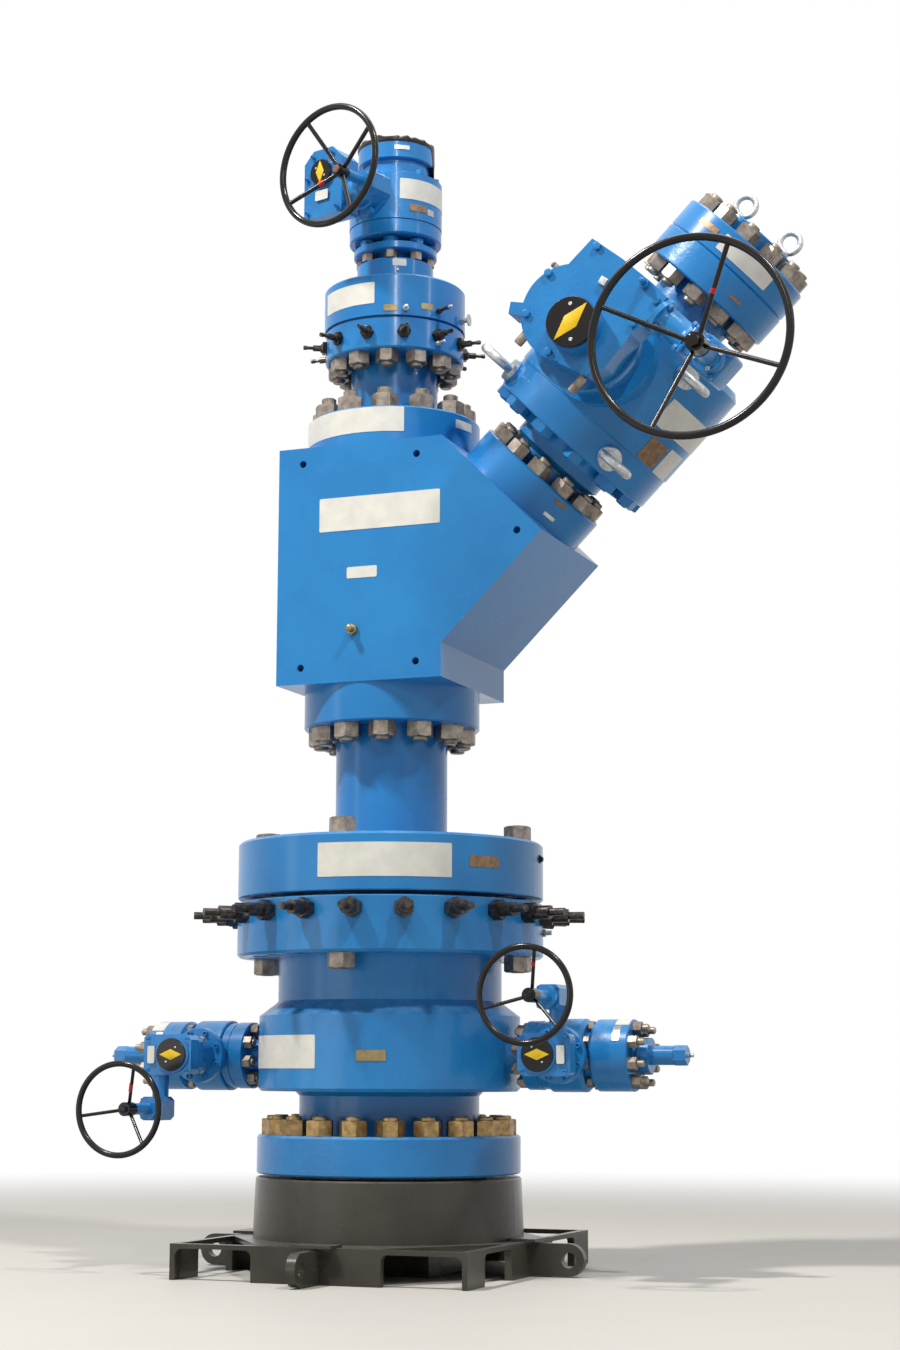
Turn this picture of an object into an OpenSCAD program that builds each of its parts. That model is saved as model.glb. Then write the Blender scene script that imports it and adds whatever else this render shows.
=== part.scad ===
// Gas wellhead stack: casing head, tubing spool and Y-block on a steel stand,
// with one valve on top, one on the slanted branch and one on each side outlet.
// Millimetres, +Z up. The well axis is Z, operators stand at -Y, the branch leans to +X.

/* [Stand] */
// Width of the stand across X
stand_w = 810; // [760:10:1000]
// Depth of the stand along Y
stand_d = 944; // [900:10:1200]
// Height of the stand
stand_h = 90; // [85:1:160]
// Clear height of the fork pockets
pocket_h = 78; // [60:1:80]
// Width of the closed middle between the front pockets
core_w = 354; // [320:2:420]
// Depth of the closed middle between the side pockets
core_d = 308; // [280:2:360]
// Width of the corner legs on the front and back
leg_w = 14; // [12:1:40]
// Length of the corner posts along the sides
post_l = 121; // [80:1:160]
// Thickness of the upright plates
stand_wall = 20; // [12:1:30]
// Length of the straight front edge of the deck
deck_front = 300; // [240:10:340]
// Length of the straight side edge of the deck
deck_side = 240; // [200:10:300]
// Reach of the lashing lugs beyond the stand
lug_reach = 146; // [110:1:180]
// Thickness of the lashing lugs
lug_t = 25; // [16:1:40]
// Diameter of the lashing lug eyes
lug_eye_d = 40; // [25:1:45]

/* [Pedestal] */
// Radius of the pedestal at the deck
pedestal_r = 361; // [340:1:380]
// Radius of the pedestal at its upper edge
pedestal_top_r = 355; // [330:1:361]
// Height of the pedestal
pedestal_h = 157; // [100:1:240]
// Radius of the raised face
pad_r = 262; // [240:1:270]
// Height of the raised face
pad_h = 9; // [4:1:20]

/* [Casing head] */
// Radius of the bottom flange
foot_r = 353; // [348:0.5:380]
// Thickness of the bottom flange
foot_t = 101.5; // [80:0.5:130]
// Bolt circle radius of the bottom flange
foot_bolt_r = 308; // [300:1:315]
// Radius of the neck above the bottom flange
foot_neck_r = 242; // [220:1:260]
// Height of that neck
foot_neck_h = 113.5; // [100:0.5:160]
// Radius of the head body
head_r = 352; // [340:1:370]
// Height of the head body
head_h = 202; // [190:1:260]
// Height of the cone above the body
shoulder_h = 32; // [15:1:60]
// Radius of the neck under the lock flange
head_neck_r = 302; // [290:1:306]
// Height of the neck under the lock flange
head_neck_h = 120; // [100:1:180]
// Radius of the lock flange
lock_r = 415; // [412:1:430]
// Thickness of the lock flange
lock_t = 145; // [120:1:170]
// Number of lock screws
lock_count = 20; // [12:1:24]
// Height of the side outlets above the bottom of the head body
outlet_h = 95; // [90:1:110]

/* [Tubing spool] */
// Gap between the lock flange and the spool flange
face_gap = 11; // [4:1:20]
// Thickness of the spool bottom flange
spool_t = 152; // [120:1:170]
// Radius of the spool pipe
pipe_r = 153; // [130:1:155]
// Height of the spool pipe
pipe_h = 315; // [240:1:420]
// Radius of the block flanges
block_flange_r = 241.5; // [236:0.5:243]
// Thickness of the block flanges
block_flange_t = 103.5; // [80:0.5:120]
// Bolt circle radius of the block flanges
block_bolt_r = 196.85; // [190:0.05:200]

/* [Block] */
// Width of the square block
block_w = 479; // [478:1:520]
// Depth of the block
block_d = 488; // [484:1:520]
// Height of the block
block_h = 656.6; // [640:0.2:760]
// Length of the slanted branch face
nose_l = 400; // [396:1:420]
// Diameter of the blind screw holes on the block
block_hole_d = 20; // [10:1:30]

/* [Hanger flange] */
// Radius of the neck above the block
top_neck_r = 122; // [100:1:125]
// Height of that neck
top_neck_h = 179; // [150:1:240]
// Radius of the lower hanger ring
hanger_low_r = 195; // [190:1:198]
// Height of the lower hanger ring
hanger_low_h = 85; // [70:1:110]
// Radius of the hanger flange
hanger_r = 199; // [194:1:210]
// Height of the hanger flange
hanger_h = 126; // [100:1:160]
// Number of lock screws in the lower hanger ring
hanger_screws = 12; // [8:1:16]
// Radius of the collar under the top valve
collar_r = 108; // [104:1:116]
// Height of the collar
collar_h = 78; // [60:1:110]

/* [Top valve] */
// Radius of the top valve body
top_valve_r = 132; // [124:1:140]
// Height of the top valve body
top_valve_h = 141; // [124:1:180]
// Angle of the top stem from the front towards -X
top_stem_turn = 16; // [0:1:45]
// Radius of the top cap flange
top_cap_r = 108; // [100:1:116]
// Radius of the top indicator disc
top_disc_r = 36; // [30:1:40]
// Radius of the top handwheel
top_wheel_r = 170; // [150:1:200]

/* [Branch valve] */
// Radius of the branch flanges
arm_flange_r = 197; // [190:1:199]
// Thickness of the branch flanges
arm_flange_t = 92; // [80:1:100]
// Bolt circle radius of the branch flanges
arm_bolt_r = 158.75; // [155:0.05:162]
// Radius of the branch valve body
arm_body_r = 258; // [250:1:266]
// Distance from the block face to the branch stem
arm_stem = 450; // [440:1:460]
// Radius of the branch indicator disc
arm_disc_r = 66; // [56:1:70]
// Radius of the branch handwheel
arm_wheel_r = 256; // [240:1:275]

/* [Side valves] */
// Radius of the side valve bodies
side_body_r = 95; // [88:1:100]
// Distance of the side valve stems beyond the rim of the lock flange
side_reach = 102; // [95:1:125]
// Radius of the side indicator discs
side_disc_r = 43; // [36:1:46]
// Radius of the side handwheels
side_wheel_r = 125; // [115:1:135]

/* [Fits] */
// Radial running clearance of the turning pieces
running_clearance = 0.05; // [0.02:0.01:0.1]
// Gap under a turning disc
disc_gap = 0.3; // [0.2:0.1:1]

/* [Hidden] */
paint_blue = [0.20, 0.50, 0.78];
stand_grey = [0.28, 0.28, 0.27];
wheel_black = [0.08, 0.08, 0.08];
screw_grey = [0.25, 0.24, 0.24];
zinc_grey = [0.68, 0.68, 0.66];
fine = 96;
medium = 48;

// Levels of the stack, from the ground up
pedestal_z = stand_h;
foot_z = pedestal_z + pedestal_h + pad_h;
head_z = foot_z + foot_t + foot_neck_h;
outlet_z = head_z + outlet_h;
lock_z = head_z + head_h + shoulder_h + head_neck_h;
spool_z = lock_z + lock_t;
pipe_z = spool_z + face_gap + spool_t;
block_z = pipe_z + pipe_h + block_flange_t;
block_top = block_z + block_h;
hanger_low_z = block_top + block_flange_t + top_neck_h;
hanger_z = hanger_low_z + hanger_low_h;
collar_z = hanger_z + hanger_h;
valve_z = collar_z + collar_h;
top_valve_rise = 64;
valve_ring_z = valve_z + top_valve_rise;
valve_body_z = valve_ring_z + 42;
cap_z = valve_body_z + top_valve_h + 48;
cover_z = cap_z + 52;
top_stem_z = valve_body_z + top_valve_h * 0.58;

// Branch: local Z runs along the branch, local X down across it
nose_x = nose_l * cos(45);
branch_x = block_w / 2 + nose_x / 2;
branch_z = block_top - nose_x / 2;
arm_neck_l = 86;
arm_closure_z = arm_flange_t + arm_neck_l;
arm_body_z = arm_closure_z + 120;
arm_body_l = 2 * (arm_stem - arm_body_z);
arm_outlet_z = arm_body_z + arm_body_l + 138;
arm_blind_z = arm_outlet_z + 88;

// Bolts and lock screws
spool_phase = 2.2;
spool_bolt_r = (lock_r + head_neck_r) / 2 + 3.5;
side_stem = lock_r + side_reach;
lock_phase = 9.2;
lock_screw_z = lock_z + lock_t * 0.77;
hanger_screw_z = hanger_low_z + hanger_low_h * 0.52;

module turned(corners) {
    // Solid of revolution from [radius, height] corners, bottom first
    last = corners[len(corners) - 1];
    rotate_extrude($fn = fine)
    polygon(concat([[0, corners[0][1]]], corners, [[0, last[1]]]));
}

module plate(r, t, chamfer = 3) {
    // Round plate with both rims chamfered
    turned([[r - chamfer, 0], [r, chamfer], [r, t - chamfer], [r - chamfer, t]]);
}

module ring_of(count, r, phase = 0) {
    // Repeats its children on a circle
    for (i = [0:count - 1])
        rotate(phase + i * 360 / count)
        translate([r, 0, 0])
        children();
}

module rod(a, b, r) {
    // Straight round bar between two points
    run = b - a;
    translate(a)
    rotate([0, acos(run[2] / norm(run)), atan2(run[1], run[0])])
    cylinder(h = norm(run), r = r, $fn = medium);
}

module bar_box(x, y, z, edge) {
    // Block centred in X and Y with its upright edges chamfered
    linear_extrude(z)
    polygon([
        [x / 2 - edge, -y / 2], [x / 2, -y / 2 + edge], [x / 2, y / 2 - edge], [x / 2 - edge, y / 2],
        [-x / 2 + edge, y / 2], [-x / 2, y / 2 - edge], [-x / 2, -y / 2 + edge], [-x / 2 + edge, -y / 2]
    ]);
}

module on_branch() {
    translate([branch_x, 0, branch_z])
    rotate([0, 45, 0])
    children();
}

module on_branch_gear() {
    // Gear frame: X along the branch, Z out along the stem
    on_branch()
    translate([0, 0, arm_stem])
    rotate([0, -90, 0])
    rotate([90, 0, 0])
    children();
}

module on_top_gear() {
    // Gear frame: X down, Z out along the stem
    translate([0, 0, top_stem_z])
    rotate([0, 0, -90 - top_stem_turn])
    rotate([0, 90, 0])
    children();
}

module on_side(hand) {
    // Both side valves are the same unit, turned half round the front axis
    translate([0, 0, outlet_z])
    rotate([0, hand > 0 ? 0 : 180, 0])
    children();
}

module on_side_gear(hand) {
    // Gear frame: X outward, Z out along the stem
    on_side(hand)
    translate([side_stem, 0, 0])
    rotate([90, 0, 0])
    children();
}

// Stand

module pocket_profile(near, far) {
    // Fork pocket outline with rounded upper corners
    corner = 18;
    translate([near, -1]) square([far - near, pocket_h - corner + 1]);
    translate([near + corner, -1]) square([far - near - 2 * corner, pocket_h + 1]);
    for (x = [near + corner, far - corner])
        translate([x, pocket_h - corner])
        circle(r = corner, $fn = medium);
}

module stand_rail(length, near, far) {
    // Upright plate along X, its outer face at y = 0, with both fork pockets
    rotate([90, 0, 0])
    translate([0, 0, -stand_wall])
    linear_extrude(stand_wall)
    difference() {
        translate([-length / 2, 0]) square([length, stand_h]);
        pocket_profile(near, far);
        mirror([1, 0]) pocket_profile(near, far);
    }
}

module lashing_lug() {
    // Lug in the plane y = 0, pointing along +X from x = 0
    lug_h = stand_h - 7;
    nose_r = lug_h / 2;
    rotate([90, 0, 0])
    linear_extrude(lug_t, center = true)
    difference() {
        union() {
            translate([0, 2]) square([lug_reach - nose_r, lug_h]);
            translate([lug_reach - nose_r, 2 + nose_r]) circle(r = nose_r, $fn = fine);
        }
        translate([lug_reach - nose_r, 2 + nose_r]) circle(r = lug_eye_d / 2, $fn = fine);
    }
}

module base_deck() {
    // Deck plate between the rails, the box under the pedestal and the pads over the lugs
    half_x = stand_w / 2 - stand_wall;
    half_y = stand_d / 2 - stand_wall;
    cut = (stand_w - deck_front) / (stand_d - deck_side);
    front = deck_front / 2 + stand_wall * cut;
    side = deck_side / 2 + stand_wall / cut;
    pad_t = 7;
    color(stand_grey) {
        translate([0, 0, pocket_h])
        linear_extrude(stand_h - pocket_h)
        polygon([
            [-front, -half_y], [front, -half_y], [half_x, -side], [half_x, side],
            [front, half_y], [-front, half_y], [-half_x, side], [-half_x, -side]
        ]);
        translate([-core_w / 2, -core_d / 2, 0]) cube([core_w, core_d, stand_h]);
        for (turn = [0, 90, 180, 270]) {
            edge = turn % 180 == 0 ? stand_d / 2 : stand_w / 2;
            rotate(turn) {
                translate([-55, -edge - 28, stand_h]) cube([110, 70, pad_t]);
                translate([-50, stand_wall + 3 - edge, stand_h - 2]) cube([100, 18, 4]);
            }
        }
    }
}

module end_rails() {
    color(stand_grey)
    for (turn = [0, 180])
        rotate(turn)
        translate([0, -stand_d / 2, 0])
        stand_rail(stand_w, core_w / 2, stand_w / 2 - leg_w);
}

module side_rails() {
    color(stand_grey)
    for (turn = [90, 270])
        rotate(turn)
        translate([0, -stand_w / 2, 0])
        stand_rail(stand_d - 2 * stand_wall, core_d / 2, stand_d / 2 - post_l);
}

module lashing_lugs() {
    color(stand_grey)
    for (turn = [0, 180]) {
        rotate(turn - 90) translate([stand_d / 2, 0, 0]) lashing_lug();
        rotate(turn) translate([stand_w / 2, 0, 0]) lashing_lug();
    }
}

module base_pedestal() {
    color(stand_grey)
    translate([0, 0, pedestal_z])
    turned([
        [pedestal_r, 0], [pedestal_top_r, pedestal_h - 4], [pedestal_top_r - 4, pedestal_h],
        [pad_r, pedestal_h], [pad_r, pedestal_h + pad_h]
    ]);
}

// Casing head and spool

module casing_head() {
    color(paint_blue)
    difference() {
        union() {
            translate([0, 0, foot_z])
            turned([
                [foot_r - 4, 0], [foot_r, 4], [foot_r, foot_t - 6], [foot_r - 6, foot_t],
                [foot_neck_r, foot_t], [foot_neck_r, foot_t + foot_neck_h - 12],
                [foot_neck_r + 12, foot_t + foot_neck_h]
            ]);
            translate([0, 0, head_z])
            turned([
                [head_r - 8, 0], [head_r, 8], [head_r, head_h - 4], [head_neck_r + 6, head_h + shoulder_h - 3],
                [head_neck_r, head_h + shoulder_h + 3], [head_neck_r, head_h + shoulder_h + head_neck_h]
            ]);
            translate([0, 0, lock_z])
            turned([[lock_r - 7, 0], [lock_r, 7], [lock_r, lock_t - 3], [lock_r - 3, lock_t]]);
            for (hand = [-1, 1])
                on_side(hand)
                rotate([0, 90, 0])
                cylinder(h = side_stem - 114, r = 48, $fn = fine);
        }
        translate([0, 0, lock_z - 1])
        ring_of(20, spool_bolt_r, spool_phase)
        cylinder(h = lock_t + 2, r = 24, $fn = medium);
    }
}

module lock_screw(length, gland_r) {
    // Screw along X: hexagonal gland nut at x = 0, packing nut and driving end
    rotate([0, 90, 0]) {
        cylinder(h = length * 0.27, r = gland_r, $fn = 6);
        cylinder(h = length * 0.64, r = gland_r * 0.67, $fn = medium);
        cylinder(h = length, r = gland_r * 0.37, $fn = medium);
    }
}

module lower_lock_screws() {
    color(screw_grey)
    translate([0, 0, lock_screw_z])
    ring_of(lock_count, lock_r, lock_phase)
    lock_screw(118, 27);
}

module tubing_spool() {
    fillet = 25;
    color(paint_blue)
    difference() {
        translate([0, 0, spool_z])
        turned([
            [head_neck_r - 2, 0], [head_neck_r - 2, face_gap], [lock_r - 3, face_gap], [lock_r, face_gap + 3],
            [lock_r, face_gap + spool_t - 7], [lock_r - 7, face_gap + spool_t],
            [pipe_r + fillet, face_gap + spool_t],
            for (a = [15:15:90]) [
                pipe_r + fillet * (1 - sin(a)), face_gap + spool_t + fillet * (1 - cos(a))
            ],
            [pipe_r, face_gap + spool_t + pipe_h],
            [block_flange_r - 4, face_gap + spool_t + pipe_h],
            [block_flange_r, face_gap + spool_t + pipe_h + 4],
            [block_flange_r, face_gap + spool_t + pipe_h + block_flange_t]
        ]);
        translate([0, 0, spool_z - 1])
        ring_of(20, spool_bolt_r, spool_phase)
        cylinder(h = face_gap + spool_t + 2, r = 24, $fn = medium);
    }
}

// Block and top flanges

module y_block() {
    hole_x = block_w / 2 - 72;
    hole_z = 45;
    color(paint_blue)
    difference() {
        translate([0, block_d / 2, block_z])
        rotate([90, 0, 0])
        linear_extrude(block_d)
        polygon([
            [-block_w / 2, 0], [block_w / 2, 0], [block_w / 2, block_h - 2 * nose_x],
            [block_w / 2 + nose_x, block_h - nose_x], [block_w / 2, block_h], [-block_w / 2, block_h]
        ]);
        for (face = [-1, 1])
            translate([0, face * (block_d / 2 - 15), block_z])
            rotate([90, 0, 0])
            for (spot = [
                [-hole_x, hole_z], [hole_x, hole_z], [-hole_x, block_h - hole_z],
                [hole_x, block_h - hole_z], [block_w / 2 + nose_x - 69, block_h - nose_x + 4]
            ])
                translate([spot[0], spot[1], -16])
                cylinder(h = 32, r = block_hole_d / 2, $fn = medium);
    }
}

module top_spool() {
    low = block_flange_t + top_neck_h;
    color(paint_blue)
    translate([0, 0, block_top])
    turned([
        [block_flange_r, 0], [block_flange_r, block_flange_t - 5], [block_flange_r - 5, block_flange_t],
        [top_neck_r + 10, block_flange_t], [top_neck_r, block_flange_t + 14],
        [top_neck_r, low], [hanger_low_r - 4, low], [hanger_low_r, low + 4],
        [hanger_low_r, low + hanger_low_h]
    ]);
}

module hanger_flange() {
    color(paint_blue)
    translate([0, 0, hanger_z])
    turned([
        [hanger_low_r - 7, 0], [hanger_low_r - 7, 6], [hanger_r, 6], [hanger_r, hanger_h - 5],
        [hanger_r - 5, hanger_h], [collar_r, hanger_h], [collar_r, hanger_h + collar_h - 3],
        [collar_r - 3, hanger_h + collar_h]
    ]);
}

module upper_lock_screws() {
    color(screw_grey)
    translate([0, 0, hanger_screw_z])
    ring_of(hanger_screws, hanger_low_r, 0)
    lock_screw(58, 13);
}

// Shared valve parts

module case_outline(up, down, half_y, corner, grow) {
    // Gear case seen along the stem: cut corners above, square below
    foot = 6;
    polygon([
        [-up - grow, corner - half_y], [corner - up, -half_y - grow], [down - foot, -half_y - grow],
        [down + grow, foot - half_y], [down + grow, half_y - foot], [down - foot, half_y + grow],
        [corner - up, half_y + grow], [-up - grow, half_y - corner]
    ]);
}

module gear_case(up, down, half_y, corner, depth, seat_r, spigot_r) {
    // Worm gear case on a stem, with its cover plate and the seat of the disc
    cover_t = 7;
    face = depth - 5;
    difference() {
        union() {
            linear_extrude(face - cover_t) case_outline(up, down, half_y, corner, 0);
            translate([0, 0, face - cover_t])
            linear_extrude(cover_t) case_outline(up, down, half_y, corner, 3);
            cylinder(h = depth, r = seat_r + 3, $fn = fine);
        }
        translate([0, 0, depth - 30])
        cylinder(h = 31, r = spigot_r + running_clearance, $fn = medium);
    }
}

module bevel_box(size, low, high, cap_r, cap_top, sleeve_r, sleeve_top, shaft_r, shaft_end) {
    // Bevel gear box about the input shaft, which runs along Z
    translate([0, 0, low]) bar_box(size, size, high - low, size / 6);
    translate([0, 0, low]) cylinder(h = cap_top - low, r = cap_r, $fn = medium);
    translate([0, 0, low]) cylinder(h = sleeve_top - low, r = sleeve_r, $fn = medium);
    translate([0, 0, low]) cylinder(h = shaft_end - low, r = shaft_r, $fn = medium);
}

module indicator_disc(disc_r, disc_t, spigot_r) {
    // Turning position disc with the spigot that carries it
    translate([0, 0, disc_gap])
    plate(disc_r, disc_t, 1.5);
    translate([0, 0, -25])
    cylinder(h = 26, r = spigot_r, $fn = medium);
}

module hand_wheel(rim_r, tube_r, hub_r, hub_h, shaft_r, spoke_r, spokes, dish, phase) {
    // Wheel about Z with its hub from z = 0 and the rim raised by the dish
    reach = rim_r - tube_r;
    difference() {
        union() {
            translate([0, 0, hub_h / 2 + dish])
            rotate_extrude($fn = fine)
            translate([reach, 0])
            circle(r = tube_r, $fn = medium);
            plate(hub_r, hub_h, 2);
            for (i = [0:spokes - 1]) {
                a = phase + i * 360 / spokes;
                rod(
                    [hub_r * 0.5 * cos(a), hub_r * 0.5 * sin(a), hub_h / 2],
                    [reach * cos(a), reach * sin(a), hub_h / 2 + dish],
                    spoke_r
                );
            }
        }
        translate([0, 0, -1])
        cylinder(h = hub_h + 2, r = shaft_r + running_clearance, $fn = medium);
    }
}

module eye_bolt(ring_r, wire_r, seat_r) {
    // Forged eye bolt standing on z = 0
    cylinder(h = wire_r, r = seat_r, $fn = medium);
    translate([0, 0, ring_r + 1])
    rotate([90, 0, 0])
    rotate_extrude($fn = fine)
    translate([ring_r - wire_r, 0])
    circle(r = wire_r, $fn = medium);
}

// Top valve

top_case_back = 247;
top_case_depth = 80;
top_worm_x = 60;
top_arm = 147;
top_hub = 420;
top_boss_r = 71;
top_boss_z = 134;

module top_valve_end() {
    color(paint_blue)
    translate([0, 0, valve_z])
    turned([[70, 0], [70, 24], [115, 24], [118, 27], [118, 43], [115, 46], [70, 46], [70, top_valve_rise]]);
}

module top_valve_body() {
    color(paint_blue)
    translate([0, 0, valve_ring_z])
    turned([
        [top_valve_r - 5, 0], [top_valve_r - 1, 4], [top_valve_r - 1, 40], [top_valve_r - 4, 40],
        [top_valve_r - 4, 43], [top_valve_r, 43], [top_valve_r, 38 + top_valve_h],
        [top_valve_r - 8, 42 + top_valve_h], [95, 42 + top_valve_h], [95, 90 + top_valve_h]
    ]);
    color(paint_blue)
    on_top_gear()
    cylinder(h = top_boss_z, r = top_boss_r, $fn = fine);
}

module top_cap_flange() {
    color(paint_blue)
    translate([0, 0, cap_z])
    plate(top_cap_r, 52, 3);
}

module top_cap_cover() {
    color(wheel_black)
    translate([0, 0, cover_z])
    turned([[top_cap_r - 2, 0], [top_cap_r - 3, 6], [top_cap_r - 22, 14], [40, 18]]);
}

module top_bonnet() {
    color(paint_blue)
    on_top_gear() {
        turned([
            [54, top_boss_z], [54, top_boss_z + 19], [51, top_boss_z + 22],
            [44, top_boss_z + 22], [44, top_case_back]
        ]);
    }
}

module top_gearbox() {
    color(paint_blue)
    on_top_gear()
    translate([0, 0, top_case_back])
    gear_case(67, 120, 64, 30, top_case_depth, top_disc_r, 12);
}

module top_input_housing() {
    color(paint_blue)
    on_top_gear() {
        translate([top_worm_x, 64, top_case_back + 35])
        rotate([-90, 0, 0])
        cylinder(h = top_arm - 64, r = 30, $fn = medium);
        translate([top_worm_x, top_arm, 0])
        bevel_box(
            66, top_case_back, top_hub - 93, 29, top_hub - 80, 14, top_hub - 22, 9, top_hub + 18
        );
    }
}

module top_indicator() {
    color(wheel_black)
    on_top_gear()
    translate([0, 0, top_case_back + top_case_depth])
    indicator_disc(top_disc_r, 8, 12);
}

module top_handwheel() {
    color(wheel_black)
    on_top_gear()
    translate([top_worm_x, top_arm, top_hub - 15])
    hand_wheel(top_wheel_r, 9, 18, 30, 9, 6, 4, 52, 29);
}

// Branch valve

arm_worm_x = 161;
arm_reach = 336;
arm_tunnel_y = 134;
arm_case_back = 395;
arm_case_front = 480;
arm_hub = 620;
arm_seat_h = 39;
arm_hub_face = 130;
arm_face_z = arm_closure_z + 29;
eye_spots_closure = [[-45, 253.5], [-142, 250]];
eye_spots_body = [[-43, 545]];

module branch_end_flange() {
    // Flange, neck and large closure disc of the branch valve, one forging
    closure_r = arm_body_r - 3;
    hub_r = closure_r - 67;
    color(paint_blue)
    on_branch() {
        turned([
            [arm_flange_r, 0], [arm_flange_r, arm_flange_t - 4], [arm_flange_r - 4, arm_flange_t],
            [118, arm_flange_t], [118, arm_flange_t + 40], [140, arm_flange_t + 56],
            [140, arm_closure_z], [hub_r, arm_closure_z], [hub_r, arm_face_z],
            [closure_r - 3, arm_face_z], [closure_r, arm_face_z + 3], [closure_r, arm_body_z]
        ]);
        at_eye_spots(eye_spots_closure) cylinder(h = arm_body_r + 3, r = 34, $fn = medium);
    }
}

module at_eye_spots(spots) {
    // Lifting eyes on the branch valve: turn about the branch, distance along it
    for (spot = spots)
        translate([0, 0, spot[1]])
        rotate(spot[0])
        rotate([0, 90, 0])
        children();
}

module branch_valve_body() {
    neck_r = 118;
    color(paint_blue)
    on_branch() {
        translate([0, 0, arm_body_z])
        turned([
            [arm_body_r - 3, 0], [arm_body_r, 3], [arm_body_r, arm_body_l - 18],
            [arm_body_r - 18, arm_body_l], [neck_r + 32, arm_body_l], [neck_r, arm_body_l + 32],
            [neck_r, arm_body_l + 138], [arm_flange_r - 4, arm_body_l + 138],
            [arm_flange_r, arm_body_l + 142], [arm_flange_r, arm_body_l + 222],
            [arm_flange_r - 4, arm_body_l + 226]
        ]);
        // Boss that carries the bonnet
        translate([0, 0, arm_stem])
        rotate([90, 0, 0])
        cylinder(h = arm_body_r + 14, r = 145, $fn = fine);
        at_eye_spots(eye_spots_body) cylinder(h = arm_body_r + 3, r = 34, $fn = medium);
    }
}

module branch_blind_flange() {
    color(paint_blue)
    on_branch()
    translate([0, 0, arm_blind_z])
    turned([
        [arm_flange_r - 4, 0], [arm_flange_r, 4], [arm_flange_r, 80], [arm_flange_r - 4, 84],
        [118, 84], [118, arm_hub_face - 3], [115, arm_hub_face]
    ]);
}

module branch_bonnet() {
    bonnet_z = arm_body_r + 14;
    plate_t = 30;
    color(paint_blue)
    on_branch_gear() {
        translate([0, 0, bonnet_z])
        turned([[150, 0], [154, 4], [154, 44], [150, 48], [112, 48], [112, arm_case_back - bonnet_z]]);
        // Square plate that the gear case is bolted to
        translate([0, 0, arm_case_back - plate_t]) bar_box(300, 300, plate_t, 22);
    }
}

module branch_case_outline() {
    // Gear case seen along the stem: a round gear end and a square worm end
    translate([14, 44]) circle(r = 128, $fn = fine);
    polygon([
        [100, 134], [193, 131], [204, 28], [207, -82], [arm_worm_x + 43, -arm_tunnel_y],
        [arm_worm_x - 38, -arm_tunnel_y], [76, -127],
        [-28, -133], [-74, -115], [-90, -57], [-98, -30], [-60, 44], [60, 134]
    ]);
    // Ear of the stop screw
    translate([14, 44]) rotate(124) translate([100, -16]) square([62, 32]);
}

module branch_gearbox() {
    depth = arm_case_front - arm_case_back;
    color(paint_blue)
    on_branch_gear()
    translate([0, 0, arm_case_back])
    difference() {
        union() {
            linear_extrude(depth) branch_case_outline();
            cylinder(h = depth + arm_seat_h, r = arm_disc_r + 4, $fn = fine);
        }
        translate([0, 0, depth + arm_seat_h - 40])
        cylinder(h = 41, r = 20 + running_clearance, $fn = medium);
    }
}

module branch_bevel_box() {
    box = 92;
    tunnel_end = arm_reach - box / 4;
    color(paint_blue)
    on_branch_gear() {
        // Worm housing beside the gear case
        translate([arm_worm_x + 2, -(arm_tunnel_y + tunnel_end) / 2, arm_case_back + 5])
        bar_box(80, tunnel_end - arm_tunnel_y, arm_case_front - arm_case_back - 7, 8);
        translate([arm_worm_x, -arm_reach, 0])
        bevel_box(
            box, arm_case_back + 5, arm_hub - 120, 43, arm_hub - 102, 26, arm_hub - 31,
            12, arm_hub + 28
        );
    }
}

module branch_indicator() {
    color(wheel_black)
    on_branch_gear()
    translate([0, 0, arm_case_front + arm_seat_h])
    indicator_disc(arm_disc_r, 9.7, 20);
}

module branch_handwheel() {
    color(wheel_black)
    on_branch_gear()
    translate([arm_worm_x, -arm_reach, arm_hub - 24])
    hand_wheel(arm_wheel_r, 10, 25, 48, 12, 6.5, 4, 66, 21);
}

module lifting_eyes() {
    color(zinc_grey)
    on_branch() {
        for (x = [-84, 84])
            translate([x, 0, arm_blind_z + arm_hub_face])
            eye_bolt(36, 8, 20);
        for (spots = [eye_spots_closure, eye_spots_body])
            at_eye_spots(spots)
            translate([0, 0, arm_body_r + 3])
            rotate(90)
            eye_bolt(54, 12, 32);
    }
}

// Side valves

side_case_back = 219;
side_case_depth = 56;
side_worm_x = 45;
side_arm = 142;
side_flange_x = side_stem - 114;
side_body_x = side_stem - 49;
side_end_x = side_stem + 131;

function side_hub(hand) = 436 + 12 * hand;

module side_valve_end(hand) {
    color(paint_blue)
    on_side(hand)
    translate([side_flange_x, 0, 0])
    rotate([0, 90, 0])
    turned([[88, 0], [90, 2], [90, 38], [86, 40], [86, 43], [88, 43], [88, side_body_x - side_flange_x]]);
}

module side_valve_body(hand) {
    shell_end = 92;
    reach = side_end_x - side_body_x;
    color(paint_blue)
    on_side(hand) {
        translate([side_body_x, 0, 0])
        rotate([0, 90, 0])
        turned([
            [side_body_r - 3, 0], [side_body_r, 3], [side_body_r, shell_end],
            [side_body_r - 10, shell_end + 10], [66, shell_end + 10], [66, reach - 59],
            [85, reach - 59], [93, reach - 51], [93, reach]
        ]);
        translate([side_stem, 0, 0])
        rotate([90, 0, 0])
        turned([[48, 0], [48, 98], [72, 98], [74, 100], [74, 120], [72, 122]]);
    }
}

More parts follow.
